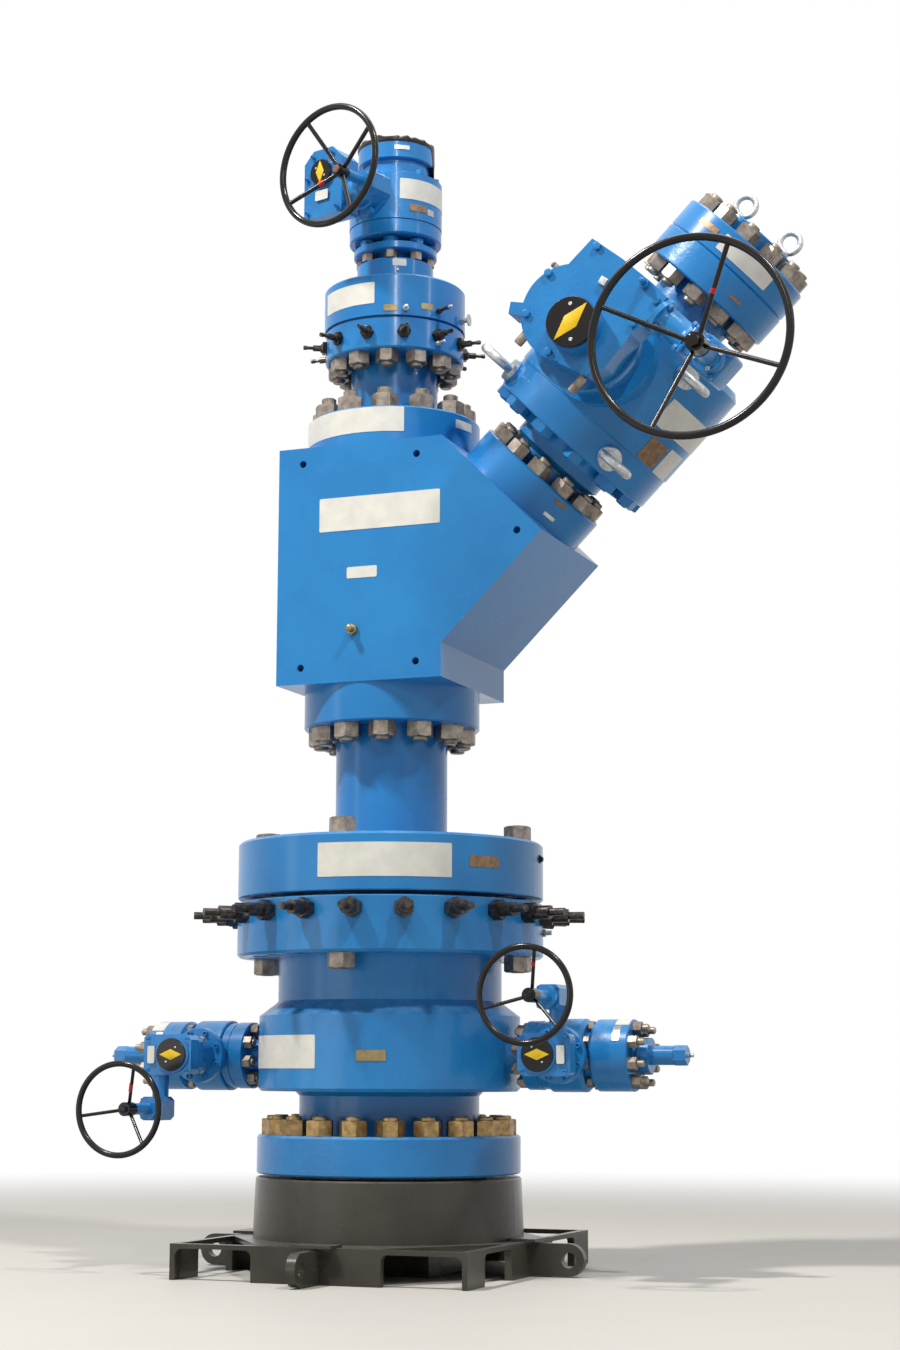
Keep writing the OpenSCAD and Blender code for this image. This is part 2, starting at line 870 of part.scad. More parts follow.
module side_blind_flange(hand) {
    tube_x = 149;
    color(paint_blue)
    on_side(hand)
    translate([side_end_x, 0, 0]) {
        rotate([0, 90, 0])
        turned([
            [93, 0], [93, 42], [90, 45], [30, 45], [30, 57], [45, 57], [45, 87],
            [25, 87], [25, tube_x], [20, tube_x], [20, tube_x + 34], [6, tube_x + 34],
            [6, tube_x + 41], [3, tube_x + 49]
        ]);
        translate([tube_x, 0, 0])
        rotate([0, 90, 0])
        cylinder(h = 34, r = 26, $fn = 6);
    }
}

module side_gearbox(hand) {
    color(paint_blue)
    on_side_gear(hand) {
        translate([0, 0, 122])
        turned([[50, 0], [50, 76]]);
        translate([0, 0, 198]) bar_box(112, 104, 21, 18);
        translate([0, 0, side_case_back])
        gear_case(53, 82, 51, 12, side_case_depth, side_disc_r + 3, 14);
    }
}

module side_bevel_box(hand) {
    color(paint_blue)
    on_side_gear(hand) {
        translate([side_worm_x, 54, side_case_back + 27])
        rotate([-90, 0, 0])
        cylinder(h = side_arm - 54, r = 22, $fn = medium);
        translate([side_worm_x, side_arm, 0])
        bevel_box(
            62, side_case_back + 5, side_hub(hand) - 123, 28, side_hub(hand) - 104,
            15, side_hub(hand) - 28, 9, side_hub(hand) + 24
        );
    }
}

module side_indicator(hand) {
    color(wheel_black)
    on_side_gear(hand)
    translate([0, 0, side_case_back + side_case_depth])
    indicator_disc(side_disc_r, 5, 14);
}

module side_handwheel(hand) {
    color(wheel_black)
    on_side_gear(hand)
    translate([side_worm_x, side_arm, side_hub(hand) - 22])
    hand_wheel(side_wheel_r, 8, 18, 44, 9, 4.5, 3, 50, hand > 0 ? 77 : 9);
}

module left_valve_end() side_valve_end(-1);
module left_valve_body() side_valve_body(-1);
module left_blind_flange() side_blind_flange(-1);
module left_gearbox() side_gearbox(-1);
module left_bevel_box() side_bevel_box(-1);
module left_indicator() side_indicator(-1);
module left_handwheel() side_handwheel(-1);
module right_valve_end() side_valve_end(1);
module right_valve_body() side_valve_body(1);
module right_blind_flange() side_blind_flange(1);
module right_gearbox() side_gearbox(1);
module right_bevel_box() side_bevel_box(1);
module right_indicator() side_indicator(1);
module right_handwheel() side_handwheel(1);

base_deck();
end_rails();
side_rails();
lashing_lugs();
base_pedestal();
casing_head();
lower_lock_screws();
tubing_spool();
y_block();
top_spool();
hanger_flange();
upper_lock_screws();
top_valve_end();
top_valve_body();
top_cap_flange();
top_cap_cover();
top_bonnet();
top_gearbox();
top_input_housing();
top_indicator();
top_handwheel();
branch_end_flange();
branch_valve_body();
branch_blind_flange();
branch_bonnet();
branch_gearbox();
branch_bevel_box();
branch_indicator();
branch_handwheel();
lifting_eyes();
left_valve_end();
left_valve_body();
left_blind_flange();
left_gearbox();
left_bevel_box();
left_indicator();
left_handwheel();
right_valve_end();
right_valve_body();
right_blind_flange();
right_gearbox();
right_bevel_box();
right_indicator();
right_handwheel();
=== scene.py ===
import math

import bmesh
import bpy
from mathutils import Matrix, Vector, noise


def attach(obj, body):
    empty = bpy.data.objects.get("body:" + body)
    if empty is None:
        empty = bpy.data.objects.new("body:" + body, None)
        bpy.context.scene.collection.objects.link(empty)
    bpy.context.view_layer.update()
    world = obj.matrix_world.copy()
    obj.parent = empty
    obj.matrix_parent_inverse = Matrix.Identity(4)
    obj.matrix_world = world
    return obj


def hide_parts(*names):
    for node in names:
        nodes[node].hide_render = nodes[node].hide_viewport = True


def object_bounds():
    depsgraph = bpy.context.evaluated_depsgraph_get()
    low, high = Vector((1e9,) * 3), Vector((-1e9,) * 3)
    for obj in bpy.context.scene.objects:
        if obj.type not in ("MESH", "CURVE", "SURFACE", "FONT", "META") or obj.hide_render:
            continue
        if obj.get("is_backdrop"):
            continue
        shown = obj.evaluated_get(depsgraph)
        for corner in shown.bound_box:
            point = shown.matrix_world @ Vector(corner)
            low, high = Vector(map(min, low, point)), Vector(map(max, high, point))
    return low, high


# Gas wellhead stack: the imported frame, its finishes, bolting and small fittings. Metres, +Z up.

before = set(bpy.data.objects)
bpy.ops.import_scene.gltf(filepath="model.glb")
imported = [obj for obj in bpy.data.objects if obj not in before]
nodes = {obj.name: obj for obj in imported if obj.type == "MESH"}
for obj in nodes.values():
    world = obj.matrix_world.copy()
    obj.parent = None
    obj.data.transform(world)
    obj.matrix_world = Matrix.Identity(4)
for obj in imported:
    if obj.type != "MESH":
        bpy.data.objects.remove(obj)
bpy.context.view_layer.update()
mm = 0.001
print("frame loaded:", len(nodes), "nodes")


# Small helpers

def rad(degrees):
    return math.radians(degrees)


def moved(x, y, z):
    return Matrix.Translation((x * mm, y * mm, z * mm))


def turned(degrees, axis):
    return Matrix.Rotation(rad(degrees), 4, axis)


def hexColour(text):
    parts = [int(text[i:i + 2], 16) / 255 for i in (1, 3, 5)]
    return (*[c / 12.92 if c <= 0.04045 else ((c + 0.055) / 1.055) ** 2.4 for c in parts], 1.0)


def addNode(tree, kind, settings=None, links=None):
    node = tree.nodes.new(kind)
    fixed = settings or {}
    for name, value in fixed.items():
        if isinstance(name, str) and name not in node.inputs:
            setattr(node, name, value)
    for name, value in fixed.items():
        if not isinstance(name, str) or name in node.inputs:
            node.inputs[name].default_value = value
    for name, source in (links or {}).items():
        tree.links.new(source, node.inputs[name])
    return node


# Frames of the valves, as in the part

levels = {
    "outlet": 566, "top stem": 2967.38, "branch x": 380.92, "branch z": 2066.68,
    "branch stem": 450, "side stem": 517, "top stem turn": 16,
}
sides = ((-1, "left"), (1, "right"))
upright = Matrix.Identity(4)
branchFrame = moved(levels["branch x"], 0, levels["branch z"]) @ turned(45, "Y")
branchGear = branchFrame @ moved(0, 0, levels["branch stem"]) @ turned(-90, "Y") @ turned(90, "X")
topGear = moved(0, 0, levels["top stem"]) @ turned(-90 - levels["top stem turn"], "Z") @ turned(90, "Y")


def sideFrame(hand):
    return moved(0, 0, levels["outlet"]) @ turned(0 if hand > 0 else 180, "Y")


def sideGear(hand):
    return sideFrame(hand) @ moved(levels["side stem"], 0, 0) @ turned(90, "X")


def sideAxis(hand):
    # Z along the outlet, away from the well
    return sideFrame(hand) @ turned(90, "Y")


def ringPlaces(base, count, radius, phase, height, skip=()):
    return [
        base @ turned(phase + i * 360 / count, "Z") @ moved(radius, 0, height)
        for i in range(count) if i not in skip
    ]


# Materials

def newMaterial(name):
    material = bpy.data.materials.new(name)
    material.use_nodes = True
    material.node_tree.nodes.clear()
    return material, material.node_tree


def noiseNode(tree, place, size, detail, roughness=0.5):
    # Cloudy noise with blotches of about this size in metres
    settings = {"Scale": 1 / size, "Detail": detail, "Roughness": roughness}
    return addNode(tree, "ShaderNodeTexNoise", settings, {"Vector": place}).outputs["Fac"]


def spanNode(tree, value, start, end, low=0.0, high=1.0):
    # Maps the span of a value from start to end onto low to high
    settings = {"From Min": start, "From Max": end, "To Min": low, "To Max": high}
    return addNode(tree, "ShaderNodeMapRange", settings, {"Value": value}).outputs[0]


def colourNode(tree, share, under, over):
    # Mixes two colours, each a text or the output of a node
    settings, links = {"data_type": "RGBA"}, {0: share}
    for slot, colour in ((6, under), (7, over)):
        if isinstance(colour, str):
            settings[slot] = hexColour(colour)
        else:
            links[slot] = colour
    return addNode(tree, "ShaderNodeMix", settings, links).outputs[2]


def bumpNode(tree, height, depth, under=None):
    links = {"Height": height}
    if under is not None:
        links["Normal"] = under
    return addNode(tree, "ShaderNodeBump", {"Strength": 1.0, "Distance": depth}, links).outputs[0]


# Spans of the noises that turn into patches, and how much dust dulls the gloss
patches = {
    "tone": (0.35, 0.68), "metalTone": (0.35, 0.66), "gloss": (0.3, 0.7), "ledge": (0.45, 1.0),
    "dust": (0.42, 0.66), "leastDust": 0.25, "scuffEdge": 0.05, "dustDulls": 0.35,
}


def paintedMetal(name, look):
    # Enamel on steel: a slightly uneven gloss coat with patchy dust on faces that look up, and sparse scuffs
    material, tree = newMaterial(name)
    place = addNode(tree, "ShaderNodeTexCoord").outputs["Object"]
    cloud = noiseNode(tree, place, look["cloud"], 4.0, 0.6)
    fine = noiseNode(tree, place, look["peel"], 2.0)
    speck = noiseNode(tree, place, look["speck"], 5.0, 0.7)
    base = colourNode(tree, spanNode(tree, cloud, *patches["tone"]), look["deep"], look["colour"])
    # Dust settles on faces that look up
    surface = addNode(tree, "ShaderNodeNewGeometry")
    facing = addNode(tree, "ShaderNodeSeparateXYZ", None, {0: surface.outputs["Normal"]})
    ledge = spanNode(tree, facing.outputs["Z"], *patches["ledge"], 0.0, look["dust"])
    patch = spanNode(tree, speck, *patches["dust"], patches["leastDust"], 1.0)
    dust = addNode(tree, "ShaderNodeMath", {"operation": "MULTIPLY"}, {0: ledge, 1: patch}).outputs[0]
    dusted = colourNode(tree, dust, base, look["dustColour"])
    # Scuffs: sparse marks where the coat is rubbed or stained
    scuffTo = look["scuffFrom"] + patches["scuffEdge"]
    scuff = spanNode(tree, speck, look["scuffFrom"], scuffTo, 0.0, look["scuff"])
    worn = colourNode(tree, scuff, dusted, look["scuffColour"])
    rough = spanNode(tree, cloud, *patches["gloss"], *look["rough"])
    dull = addNode(
        tree, "ShaderNodeMath", {"operation": "MULTIPLY_ADD", 1: patches["dustDulls"]}, {0: dust, 2: rough},
    )
    normal = bumpNode(tree, fine, look["peelDepth"])
    if "castDepth" in look:
        normal = bumpNode(tree, noiseNode(tree, place, look["cast"], 3.0, 0.55), look["castDepth"], normal)
    shader = addNode(
        tree, "ShaderNodeBsdfPrincipled",
        {"IOR": look.get("ior", 1.38), "Coat Weight": look.get("coat", 0.0), "Coat Roughness": 0.08},
        {"Base Color": worn, "Roughness": dull.outputs[0], "Normal": normal},
    )
    addNode(tree, "ShaderNodeOutputMaterial", None, {"Surface": shader.outputs[0]})
    return material


def bareMetal(name, look):
    # Plated or bare steel: metallic, mottled by its plating, with a fine grain
    material, tree = newMaterial(name)
    place = addNode(tree, "ShaderNodeTexCoord").outputs["Object"]
    cloud = noiseNode(tree, place, look["cloud"], 4.0, 0.62)
    grain = noiseNode(tree, place, look["grain"], 3.0)
    base = colourNode(tree, spanNode(tree, cloud, *patches["metalTone"]), look["deep"], look["colour"])
    rough = spanNode(tree, grain, *patches["gloss"], *look["rough"])
    bump = bumpNode(tree, grain, look["depth"])
    shader = addNode(
        tree, "ShaderNodeBsdfPrincipled", {"Metallic": look["metallic"]},
        {"Base Color": base, "Roughness": rough, "Normal": bump},
    )
    addNode(tree, "ShaderNodeOutputMaterial", None, {"Surface": shader.outputs[0]})
    return material


paintLooks = {
    # Two-pack enamel on machined forgings: wet, even sky blue with a soft orange peel
    "blueEnamelOnForging": {
        "colour": "#2580C2", "deep": "#1C72B4", "cloud": 0.35, "peel": 0.004, "peelDepth": 0.00005,
        "speck": 0.03, "dust": 0.35, "dustColour": "#9DB4C4", "scuff": 0.3, "scuffFrom": 0.66,
        "scuffColour": "#22487E", "rough": (0.2, 0.32), "coat": 0.16,
    },
    # The same enamel over sand castings: it flows over a pebbly skin
    "blueEnamelOnCasting": {
        "colour": "#2580C2", "deep": "#1C71B2", "cloud": 0.25, "peel": 0.004, "peelDepth": 0.00006,
        "speck": 0.025, "dust": 0.35, "dustColour": "#9DB4C4", "scuff": 0.3, "scuffFrom": 0.66,
        "scuffColour": "#22487E", "rough": (0.22, 0.34), "coat": 0.16, "cast": 0.014, "castDepth": 0.0008,
    },
    # Grey-brown machine enamel on welded plate: gloss, with dust and handling marks
    "greyEnamelOnPlate": {
        "colour": "#44423B", "deep": "#35332E", "cloud": 0.3, "peel": 0.005, "peelDepth": 0.00006,
        "speck": 0.03, "dust": 0.4, "dustColour": "#7C7A72", "scuff": 0.55, "scuffFrom": 0.63,
        "scuffColour": "#2E2D2A", "rough": (0.16, 0.32),
    },
    # Black stoving enamel on wheels and discs: hard gloss
    "blackEnamelOnWheel": {
        "colour": "#161413", "deep": "#0D0C0B", "cloud": 0.2, "peel": 0.003, "peelDepth": 0.00002,
        "speck": 0.02, "dust": 0.12, "dustColour": "#6B6D70", "scuff": 0.4, "scuffFrom": 0.67,
        "scuffColour": "#332E2B", "rough": (0.14, 0.26), "ior": 1.36,
    },
    # Crumpled black film: half gloss on its folds
    "blackFilm": {
        "colour": "#2A2421", "deep": "#171412", "cloud": 0.05, "peel": 0.003, "peelDepth": 0.0003,
        "speck": 0.012, "dust": 0.15, "dustColour": "#5B5550", "scuff": 0.2, "scuffFrom": 0.66,
        "scuffColour": "#3A3634", "rough": (0.24, 0.4),
    },
    # Blank white enamelled plate: clean, faintly yellowed
    "whiteEnamelPlate": {
        "colour": "#DCDCD6", "deep": "#CFCFC9", "cloud": 0.05, "peel": 0.003, "peelDepth": 0.00005,
        "speck": 0.012, "dust": 0.1, "dustColour": "#CFCDC4", "scuff": 0.2, "scuffFrom": 0.68,
        "scuffColour": "#A9A79E", "rough": (0.3, 0.42),
    },
    # Yellow position mark: flat signal paint
    "yellowMarkPaint": {
        "colour": "#E8C52C", "deep": "#D9B222", "cloud": 0.03, "peel": 0.002, "peelDepth": 0.00005,
        "speck": 0.01, "dust": 0.0, "dustColour": "#E0CF80", "scuff": 0.3, "scuffFrom": 0.67,
        "scuffColour": "#9A8124", "rough": (0.35, 0.45),
    },
    # Red paint dab on the wheels
    "redMarkPaint": {
        "colour": "#C8281E", "deep": "#B0221A", "cloud": 0.03, "peel": 0.002, "peelDepth": 0.00005,
        "speck": 0.01, "dust": 0.0, "dustColour": "#D07060", "scuff": 0.3, "scuffFrom": 0.67,
        "scuffColour": "#7A1812", "rough": (0.35, 0.45),
    },
}
metalLooks = {
    # Zinc-phosphated studs and nuts: warm dull grey, powdery
    "phosphatedNutSteel": {
        "colour": "#A0968B", "deep": "#746B62", "cloud": 0.02, "grain": 0.0015, "depth": 0.00006, "metallic": 0.75,
        "rough": (0.36, 0.52),
    },
    # Yellow-passivated zinc on the foot nuts: golden with a rainbow cast
    "yellowZincNutSteel": {
        "colour": "#B09465", "deep": "#7E6643", "cloud": 0.018, "grain": 0.0015, "depth": 0.00005, "metallic": 0.85,
        "rough": (0.3, 0.45),
    },
    # Oiled dark lock screws: blue-black steel with bright wear
    "darkScrewSteel": {
        "colour": "#5B5550", "deep": "#2B2826", "cloud": 0.012, "grain": 0.0012, "depth": 0.00006, "metallic": 0.8,
        "rough": (0.22, 0.4),
    },
    # Galvanised forged eye bolts: pale, spangled
    "galvanisedEyeSteel": {
        "colour": "#C9CCCC", "deep": "#9FA3A5", "cloud": 0.012, "grain": 0.002, "depth": 0.00006, "metallic": 0.8,
        "rough": (0.34, 0.5),
    },
    # Blank stamped steel plates: thin, bright
    "brightSteelPlate": {
        "colour": "#C6C7C6", "deep": "#A9ABAC", "cloud": 0.03, "grain": 0.001, "depth": 0.00003, "metallic": 0.9,
        "rough": (0.28, 0.4),
    },
    # Bright zinc screws: pale, with a thin shine
    "brightScrewSteel": {
        "colour": "#DDDEDC", "deep": "#B9BBBB", "cloud": 0.01, "grain": 0.001, "depth": 0.00003, "metallic": 0.7,
        "rough": (0.25, 0.4),
    },
    # Copper-coloured tags: brownish, uneven, half dull
    "copperTag": {
        "colour": "#8F7257", "deep": "#6B5542", "cloud": 0.012, "grain": 0.001, "depth": 0.00004, "metallic": 0.6,
        "rough": (0.35, 0.5),
    },
    # Primer-brown hub cap of the top wheel
    "rustBrownCap": {
        "colour": "#7D5547", "deep": "#5E3F35", "cloud": 0.006, "grain": 0.001, "depth": 0.00006, "metallic": 0.1,
        "rough": (0.5, 0.65),
    },
    # Blank brass plates: dulled yellow
    "dullBrassPlate": {
        "colour": "#9A8A63", "deep": "#75694C", "cloud": 0.03, "grain": 0.001, "depth": 0.00003, "metallic": 0.8,
        "rough": (0.35, 0.5),
    },
}
materials = {name: paintedMetal(name, look) for name, look in paintLooks.items()}
materials.update({name: bareMetal(name, look) for name, look in metalLooks.items()})

nodeFinish = {
    "base_deck": "greyEnamelOnPlate", "end_rails": "greyEnamelOnPlate", "side_rails": "greyEnamelOnPlate",
    "lashing_lugs": "greyEnamelOnPlate", "base_pedestal": "greyEnamelOnPlate",
    "lower_lock_screws": "darkScrewSteel", "upper_lock_screws": "darkScrewSteel",
    "top_cap_cover": "blackFilm", "lifting_eyes": "galvanisedEyeSteel",
}
for name, node in nodes.items():
    finish = nodeFinish.get(name, "blueEnamelOnForging")
    if name.endswith("handwheel") or name.endswith("indicator"):
        finish = "blackEnamelOnWheel"
    elif any(word in name for word in ("gearbox", "bevel", "bonnet", "housing", "valve_body", "casing_head")):
        finish = "blueEnamelOnCasting"
    node.data.materials.clear()
    node.data.materials.append(materials[finish])
print("finishes given to the nodes")


# Making pieces

def finished(work, name, finish, body):
    # Closes a bmesh into an object at the origin that rides on a body
    bmesh.ops.remove_doubles(work, verts=work.verts, dist=0.00001)
    bmesh.ops.recalc_face_normals(work, faces=work.faces)
    mesh = bpy.data.meshes.new(name)
    work.to_mesh(mesh)
    work.free()
    mesh.shade_smooth()
    mesh.set_sharp_from_angle(angle=rad(32))
    mesh.materials.append(materials[finish])
    piece = bpy.data.objects.new(name, mesh)
    bpy.context.scene.collection.objects.link(piece)
    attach(piece, body)
    return piece


def drawnRings(segments, rings):
    # Extrudes a circle of edges from ring to ring; each ring gives radius and height at an angle
    work = bmesh.new()
    bmesh.ops.create_circle(work, cap_ends=False, radius=1, segments=segments)
    edges = work.edges[:]
    verts = work.verts[:]
    for number, ring in enumerate(rings):
        if number:
            grown = bmesh.ops.extrude_edge_only(work, edges=edges)["geom"]
            verts = [g for g in grown if isinstance(g, bmesh.types.BMVert)]
            edges = [g for g in grown if isinstance(g, bmesh.types.BMEdge)]
        for v in verts:
            angle = math.atan2(v.co.y, v.co.x)
            radius, height = ring(angle) if callable(ring) else ring
            v.co = Vector((math.cos(angle), math.sin(angle), 0)) * radius * mm
            v.co.z = height * mm
        if number == 0:
            bmesh.ops.contextual_create(work, geom=edges)
    bmesh.ops.contextual_create(work, geom=edges)
    return work


def hexOutline(flats, angle):
    side = (angle + math.pi / 6) % (math.pi / 3) - math.pi / 6
    return flats / 2 / math.cos(side)


def hexNut(flats, height, studRadius, studEnd, threadGap=1.5):
    # Heavy hex nut with its stud end, standing on z = 0
    rim = 0.955 * flats / 2
    drop = 0.5

    def corner(level, up):
        return lambda angle: (hexOutline(flats, angle), level - up * drop * (hexOutline(flats, angle) - rim))

    return drawnRings(24, [
        (rim, 0), lambda angle: (hexOutline(flats, angle), drop * 0.35 * (hexOutline(flats, angle) - rim)),
        corner(height, 1), (rim, height), (studRadius + threadGap, height), (studRadius, height - threadGap),
        (studRadius, height + studEnd - 3), (studRadius - 3.5, height + studEnd),
        (studRadius * 0.35, height + studEnd),
    ])


def hexHead(flats, height):
    # Hex bolt head on a washer face
    rim = 0.95 * flats / 2
    return drawnRings(24, [
        (rim, 0), (rim, 1.2), lambda angle: (hexOutline(flats, angle), 1.2),
        lambda angle: (hexOutline(flats, angle), height - 0.5 * (hexOutline(flats, angle) - rim)),
        (rim, height), (rim * 0.5, height),
    ])


def capScrew(radius, height, socket):
    # Socket head cap screw with its hexagon hole
    return drawnRings(24, [
        (radius, 0), (radius, height - 1), (radius - 1, height), (socket * 0.62, height),
        lambda angle: (hexOutline(socket, angle), height - 0.5),
        lambda angle: (hexOutline(socket, angle), height * 0.45),
        (socket * 0.2, height * 0.42),
    ])


def stamped(template, places):
    # One mesh with a copy of the template at each place
    mesh = bpy.data.meshes.new("stamp")
    template.to_mesh(mesh)
    template.free()
    work = bmesh.new()
    for place in places:
        turnedMesh = mesh.copy()
        turnedMesh.transform(place)
        work.from_mesh(turnedMesh)
        bpy.data.meshes.remove(turnedMesh)
    bpy.data.meshes.remove(mesh)
    return work


# Studs and nuts of the flanges

def facingBack(frameNow, height):
    # The same axis, standing at a height and pointing down it
    return frameNow @ moved(0, 0, height) @ turned(180, "X")


heavyNut = {"flats": 65, "tall": 41, "stud": 20.5}
mediumNut = {"flats": 55.6, "tall": 35, "stud": 17.5}
smallNut = {"flats": 31, "tall": 23, "stud": 9.5}
boltSets = {
    "footNuts": {
        **heavyNut, "frame": upright, "count": 20, "circle": 308, "phase": 5.2, "height": 357.5, "end": 9,
        "finish": "yellowZincNutSteel",
    },
    "spoolNutsAbove": {
        **heavyNut, "frame": upright, "count": 4, "circle": 362, "phase": 2.2, "height": 1133, "end": 2,
    },
    "spoolNutsBelow": {
        **heavyNut, "frame": facingBack(upright, 825), "count": 4, "circle": 362, "phase": -2.2, "height": 0,
        "end": 1.5,
    },
    "blockFootNuts": {
        **heavyNut, "frame": facingBack(upright, 1448), "count": 12, "circle": 196.85, "phase": 15, "height": 0,
        "end": 10,
    },
    "blockTopNuts": {
        **heavyNut, "frame": upright, "count": 12, "circle": 196.85, "phase": 15, "height": 2311.6, "end": 20,
    },
    "hangerNuts": {
        **mediumNut, "frame": facingBack(upright, 2490.6), "count": 12, "circle": 158.75, "phase": 15, "height": 0,
        "end": 10,
    },
    "branchFootNuts": {
        **mediumNut, "frame": branchFrame, "count": 12, "circle": 158.75, "phase": 15, "height": 92, "end": 12,
    },
    "branchOutletNuts": {
        **mediumNut, "frame": facingBack(branchFrame, 740), "count": 12, "circle": 158.75, "phase": 15, "height": 0,
        "end": 12,
    },
    "branchBlindNuts": {
        **mediumNut, "frame": branchFrame, "count": 12, "circle": 158.75, "phase": 15, "height": 912, "end": 12,
    },
    "closureNuts": {
        "flats": 60, "tall": 26, "stud": 17.5, "frame": facingBack(branchFrame, 207), "count": 12, "circle": 222,
        "phase": 0, "height": 0, "end": 5, "finish": "blueEnamelOnForging",
    },
    "topValveFootNuts": {
        **smallNut, "frame": upright, "count": 8, "circle": 95, "phase": 14.7, "height": 2779.6, "tall": 23.6,
        "end": 0.4,
    },
    "topValveRingNuts": {
        "flats": 37, "tall": 15, "stud": 9.5, "frame": upright, "count": 8, "circle": 97, "phase": 14.7,
        "height": 2825.6, "end": 2.6, "finish": "blueEnamelOnForging",
    },
}
for hand, word in sides:
    boltSets[word + "HeadNuts"] = {
        **smallNut, "frame": facingBack(sideAxis(hand), 403), "count": 8, "circle": 70, "phase": -30, "height": 0,
        "end": 8,
    }
    boltSets[word + "NeckNuts"] = {
        "flats": 26, "tall": 15, "stud": 8, "frame": facingBack(sideAxis(hand), 589), "count": 8, "circle": 77,
        "phase": -17, "height": 0, "end": 2,
    }
    boltSets[word + "BlindNuts"] = {
        "flats": 30, "tall": 24, "stud": 9.5, "frame": sideAxis(hand), "count": 8, "circle": 73, "phase": 17,
        "height": 693, "end": 19,
    }
for name, data in boltSets.items():
    nut = hexNut(data["flats"], data["tall"], data["stud"], data["end"])
    work = stamped(nut, ringPlaces(data["frame"], data["count"], data["circle"], data["phase"], data["height"]))
    finish = data.get("finish", "phosphatedNutSteel")
    finished(work, name, finish, "stack")
print("flange bolting made")


# Heads and screws: each row is a head, its finish and its places

branchCaseSpots = ((186, 105), (55, 159), (-94, 13), (-65, -108), (180, -118), (100, -112), (-60, 130))
topCaseSpots = ((-52, -34), (-52, 34), (10, -54), (10, 54), (108, -52), (108, 52))
sideCaseSpots = ((-44, -42), (-44, 42), (73, -42), (73, 42))
inputBoxBack = {-1: 301, 1: 325}


def atSpots(base, spots, height):
    return [base @ moved(x, y, height) for x, y in spots]


def squareSpots(x, y, reachX, reachY):
    return [(x + i, y + j) for i in (-reachX, reachX) for j in (-reachY, reachY)]


headSets = {
    "capHeads": {
        "kind": "hex", "flats": 24, "tall": 15, "finish": "blueEnamelOnCasting",
        "places": ringPlaces(upright, 8, 112, 14.7, 3026.6, skip=(4, 5, 6)),
    },
    "shoulderHeads": {
        "kind": "hex", "flats": 19, "tall": 12, "finish": "blueEnamelOnCasting",
        "places": ringPlaces(topGear, 6, 62, 20, 134, skip=(3,)),
    },
    "branchCaseHeads": {
        "kind": "hex", "flats": 19, "tall": 9, "finish": "blueEnamelOnCasting",
        "places": atSpots(branchGear, branchCaseSpots, 480),
    },
    "branchMountHeads": {
        "kind": "hex", "flats": 24, "tall": 14, "finish": "blueEnamelOnForging",
        "places": ringPlaces(facingBack(branchGear, 374), 8, 130, 22.5, 0),
    },
    "branchCapScrews": {
        "kind": "socket", "radius": 6, "tall": 7, "socket": 6, "finish": "brightScrewSteel",
        "places": ringPlaces(branchGear @ moved(161, -336, 0), 4, 34, 45, 518),
    },
    "topCaseScrews": {
        "kind": "socket", "radius": 5.5, "tall": 5, "socket": 6, "finish": "blueEnamelOnCasting",
        "places": atSpots(topGear, topCaseSpots, 327),
    },
}
for hand, word in sides:
    headSets[word + "CaseScrews"] = {
        "kind": "socket", "radius": 4.5, "tall": 4, "socket": 5, "finish": "blueEnamelOnCasting",
        "places": atSpots(sideGear(hand), sideCaseSpots, 275),
    }
    headSets[word + "PlateNuts"] = {
        "kind": "hex", "flats": 18, "tall": 14, "finish": "galvanisedEyeSteel",
        "places": [place @ turned(180, "X") for place in atSpots(sideGear(hand), squareSpots(0, 0, 45, 39), 198)],
    }
    headSets[word + "BonnetScrews"] = {
        "kind": "socket", "radius": 7, "tall": 8, "socket": 8, "finish": "blueEnamelOnForging",
        "places": ringPlaces(sideGear(hand), 8, 62, 22.5, 122),
    }
    headSets[word + "BoxScrews"] = {
        "kind": "socket", "radius": 4, "tall": 4, "socket": 4, "finish": "blueEnamelOnCasting",
        "places": atSpots(sideGear(hand), squareSpots(45, 142, 24, 24), inputBoxBack[hand]),
    }
for name, data in headSets.items():
    if data["kind"] == "hex":
        head = hexHead(data["flats"], data["tall"])
    else:
        head = capScrew(data["radius"], data["tall"], data["socket"])
    finished(stamped(head, data["places"]), name, data["finish"], "stack")
print("heads and screws made")


# Position discs: yellow arrow and two pale screws

def arrowPlate(length, width, thickness):
    # Four-sided plate with softened edges, lying on z = 0
    work = bmesh.new()
    bmesh.ops.create_circle(work, cap_ends=True, radius=1, segments=4)
    bmesh.ops.scale(work, vec=(length * mm, width * mm, 1), verts=work.verts)
    top = bmesh.ops.extrude_face_region(work, geom=work.faces[:])["geom"]
    lifted = [g for g in top if isinstance(g, bmesh.types.BMVert)]
    bmesh.ops.translate(work, vec=(0, 0, thickness * mm), verts=lifted)
    rim = [e for e in work.edges if min(v.co.z for v in e.verts) > thickness * mm * 0.9]
    bmesh.ops.bevel(work, geom=rim, offset=0.4 * mm, segments=2, profile=0.5, affect="EDGES", material=-1)
    return work


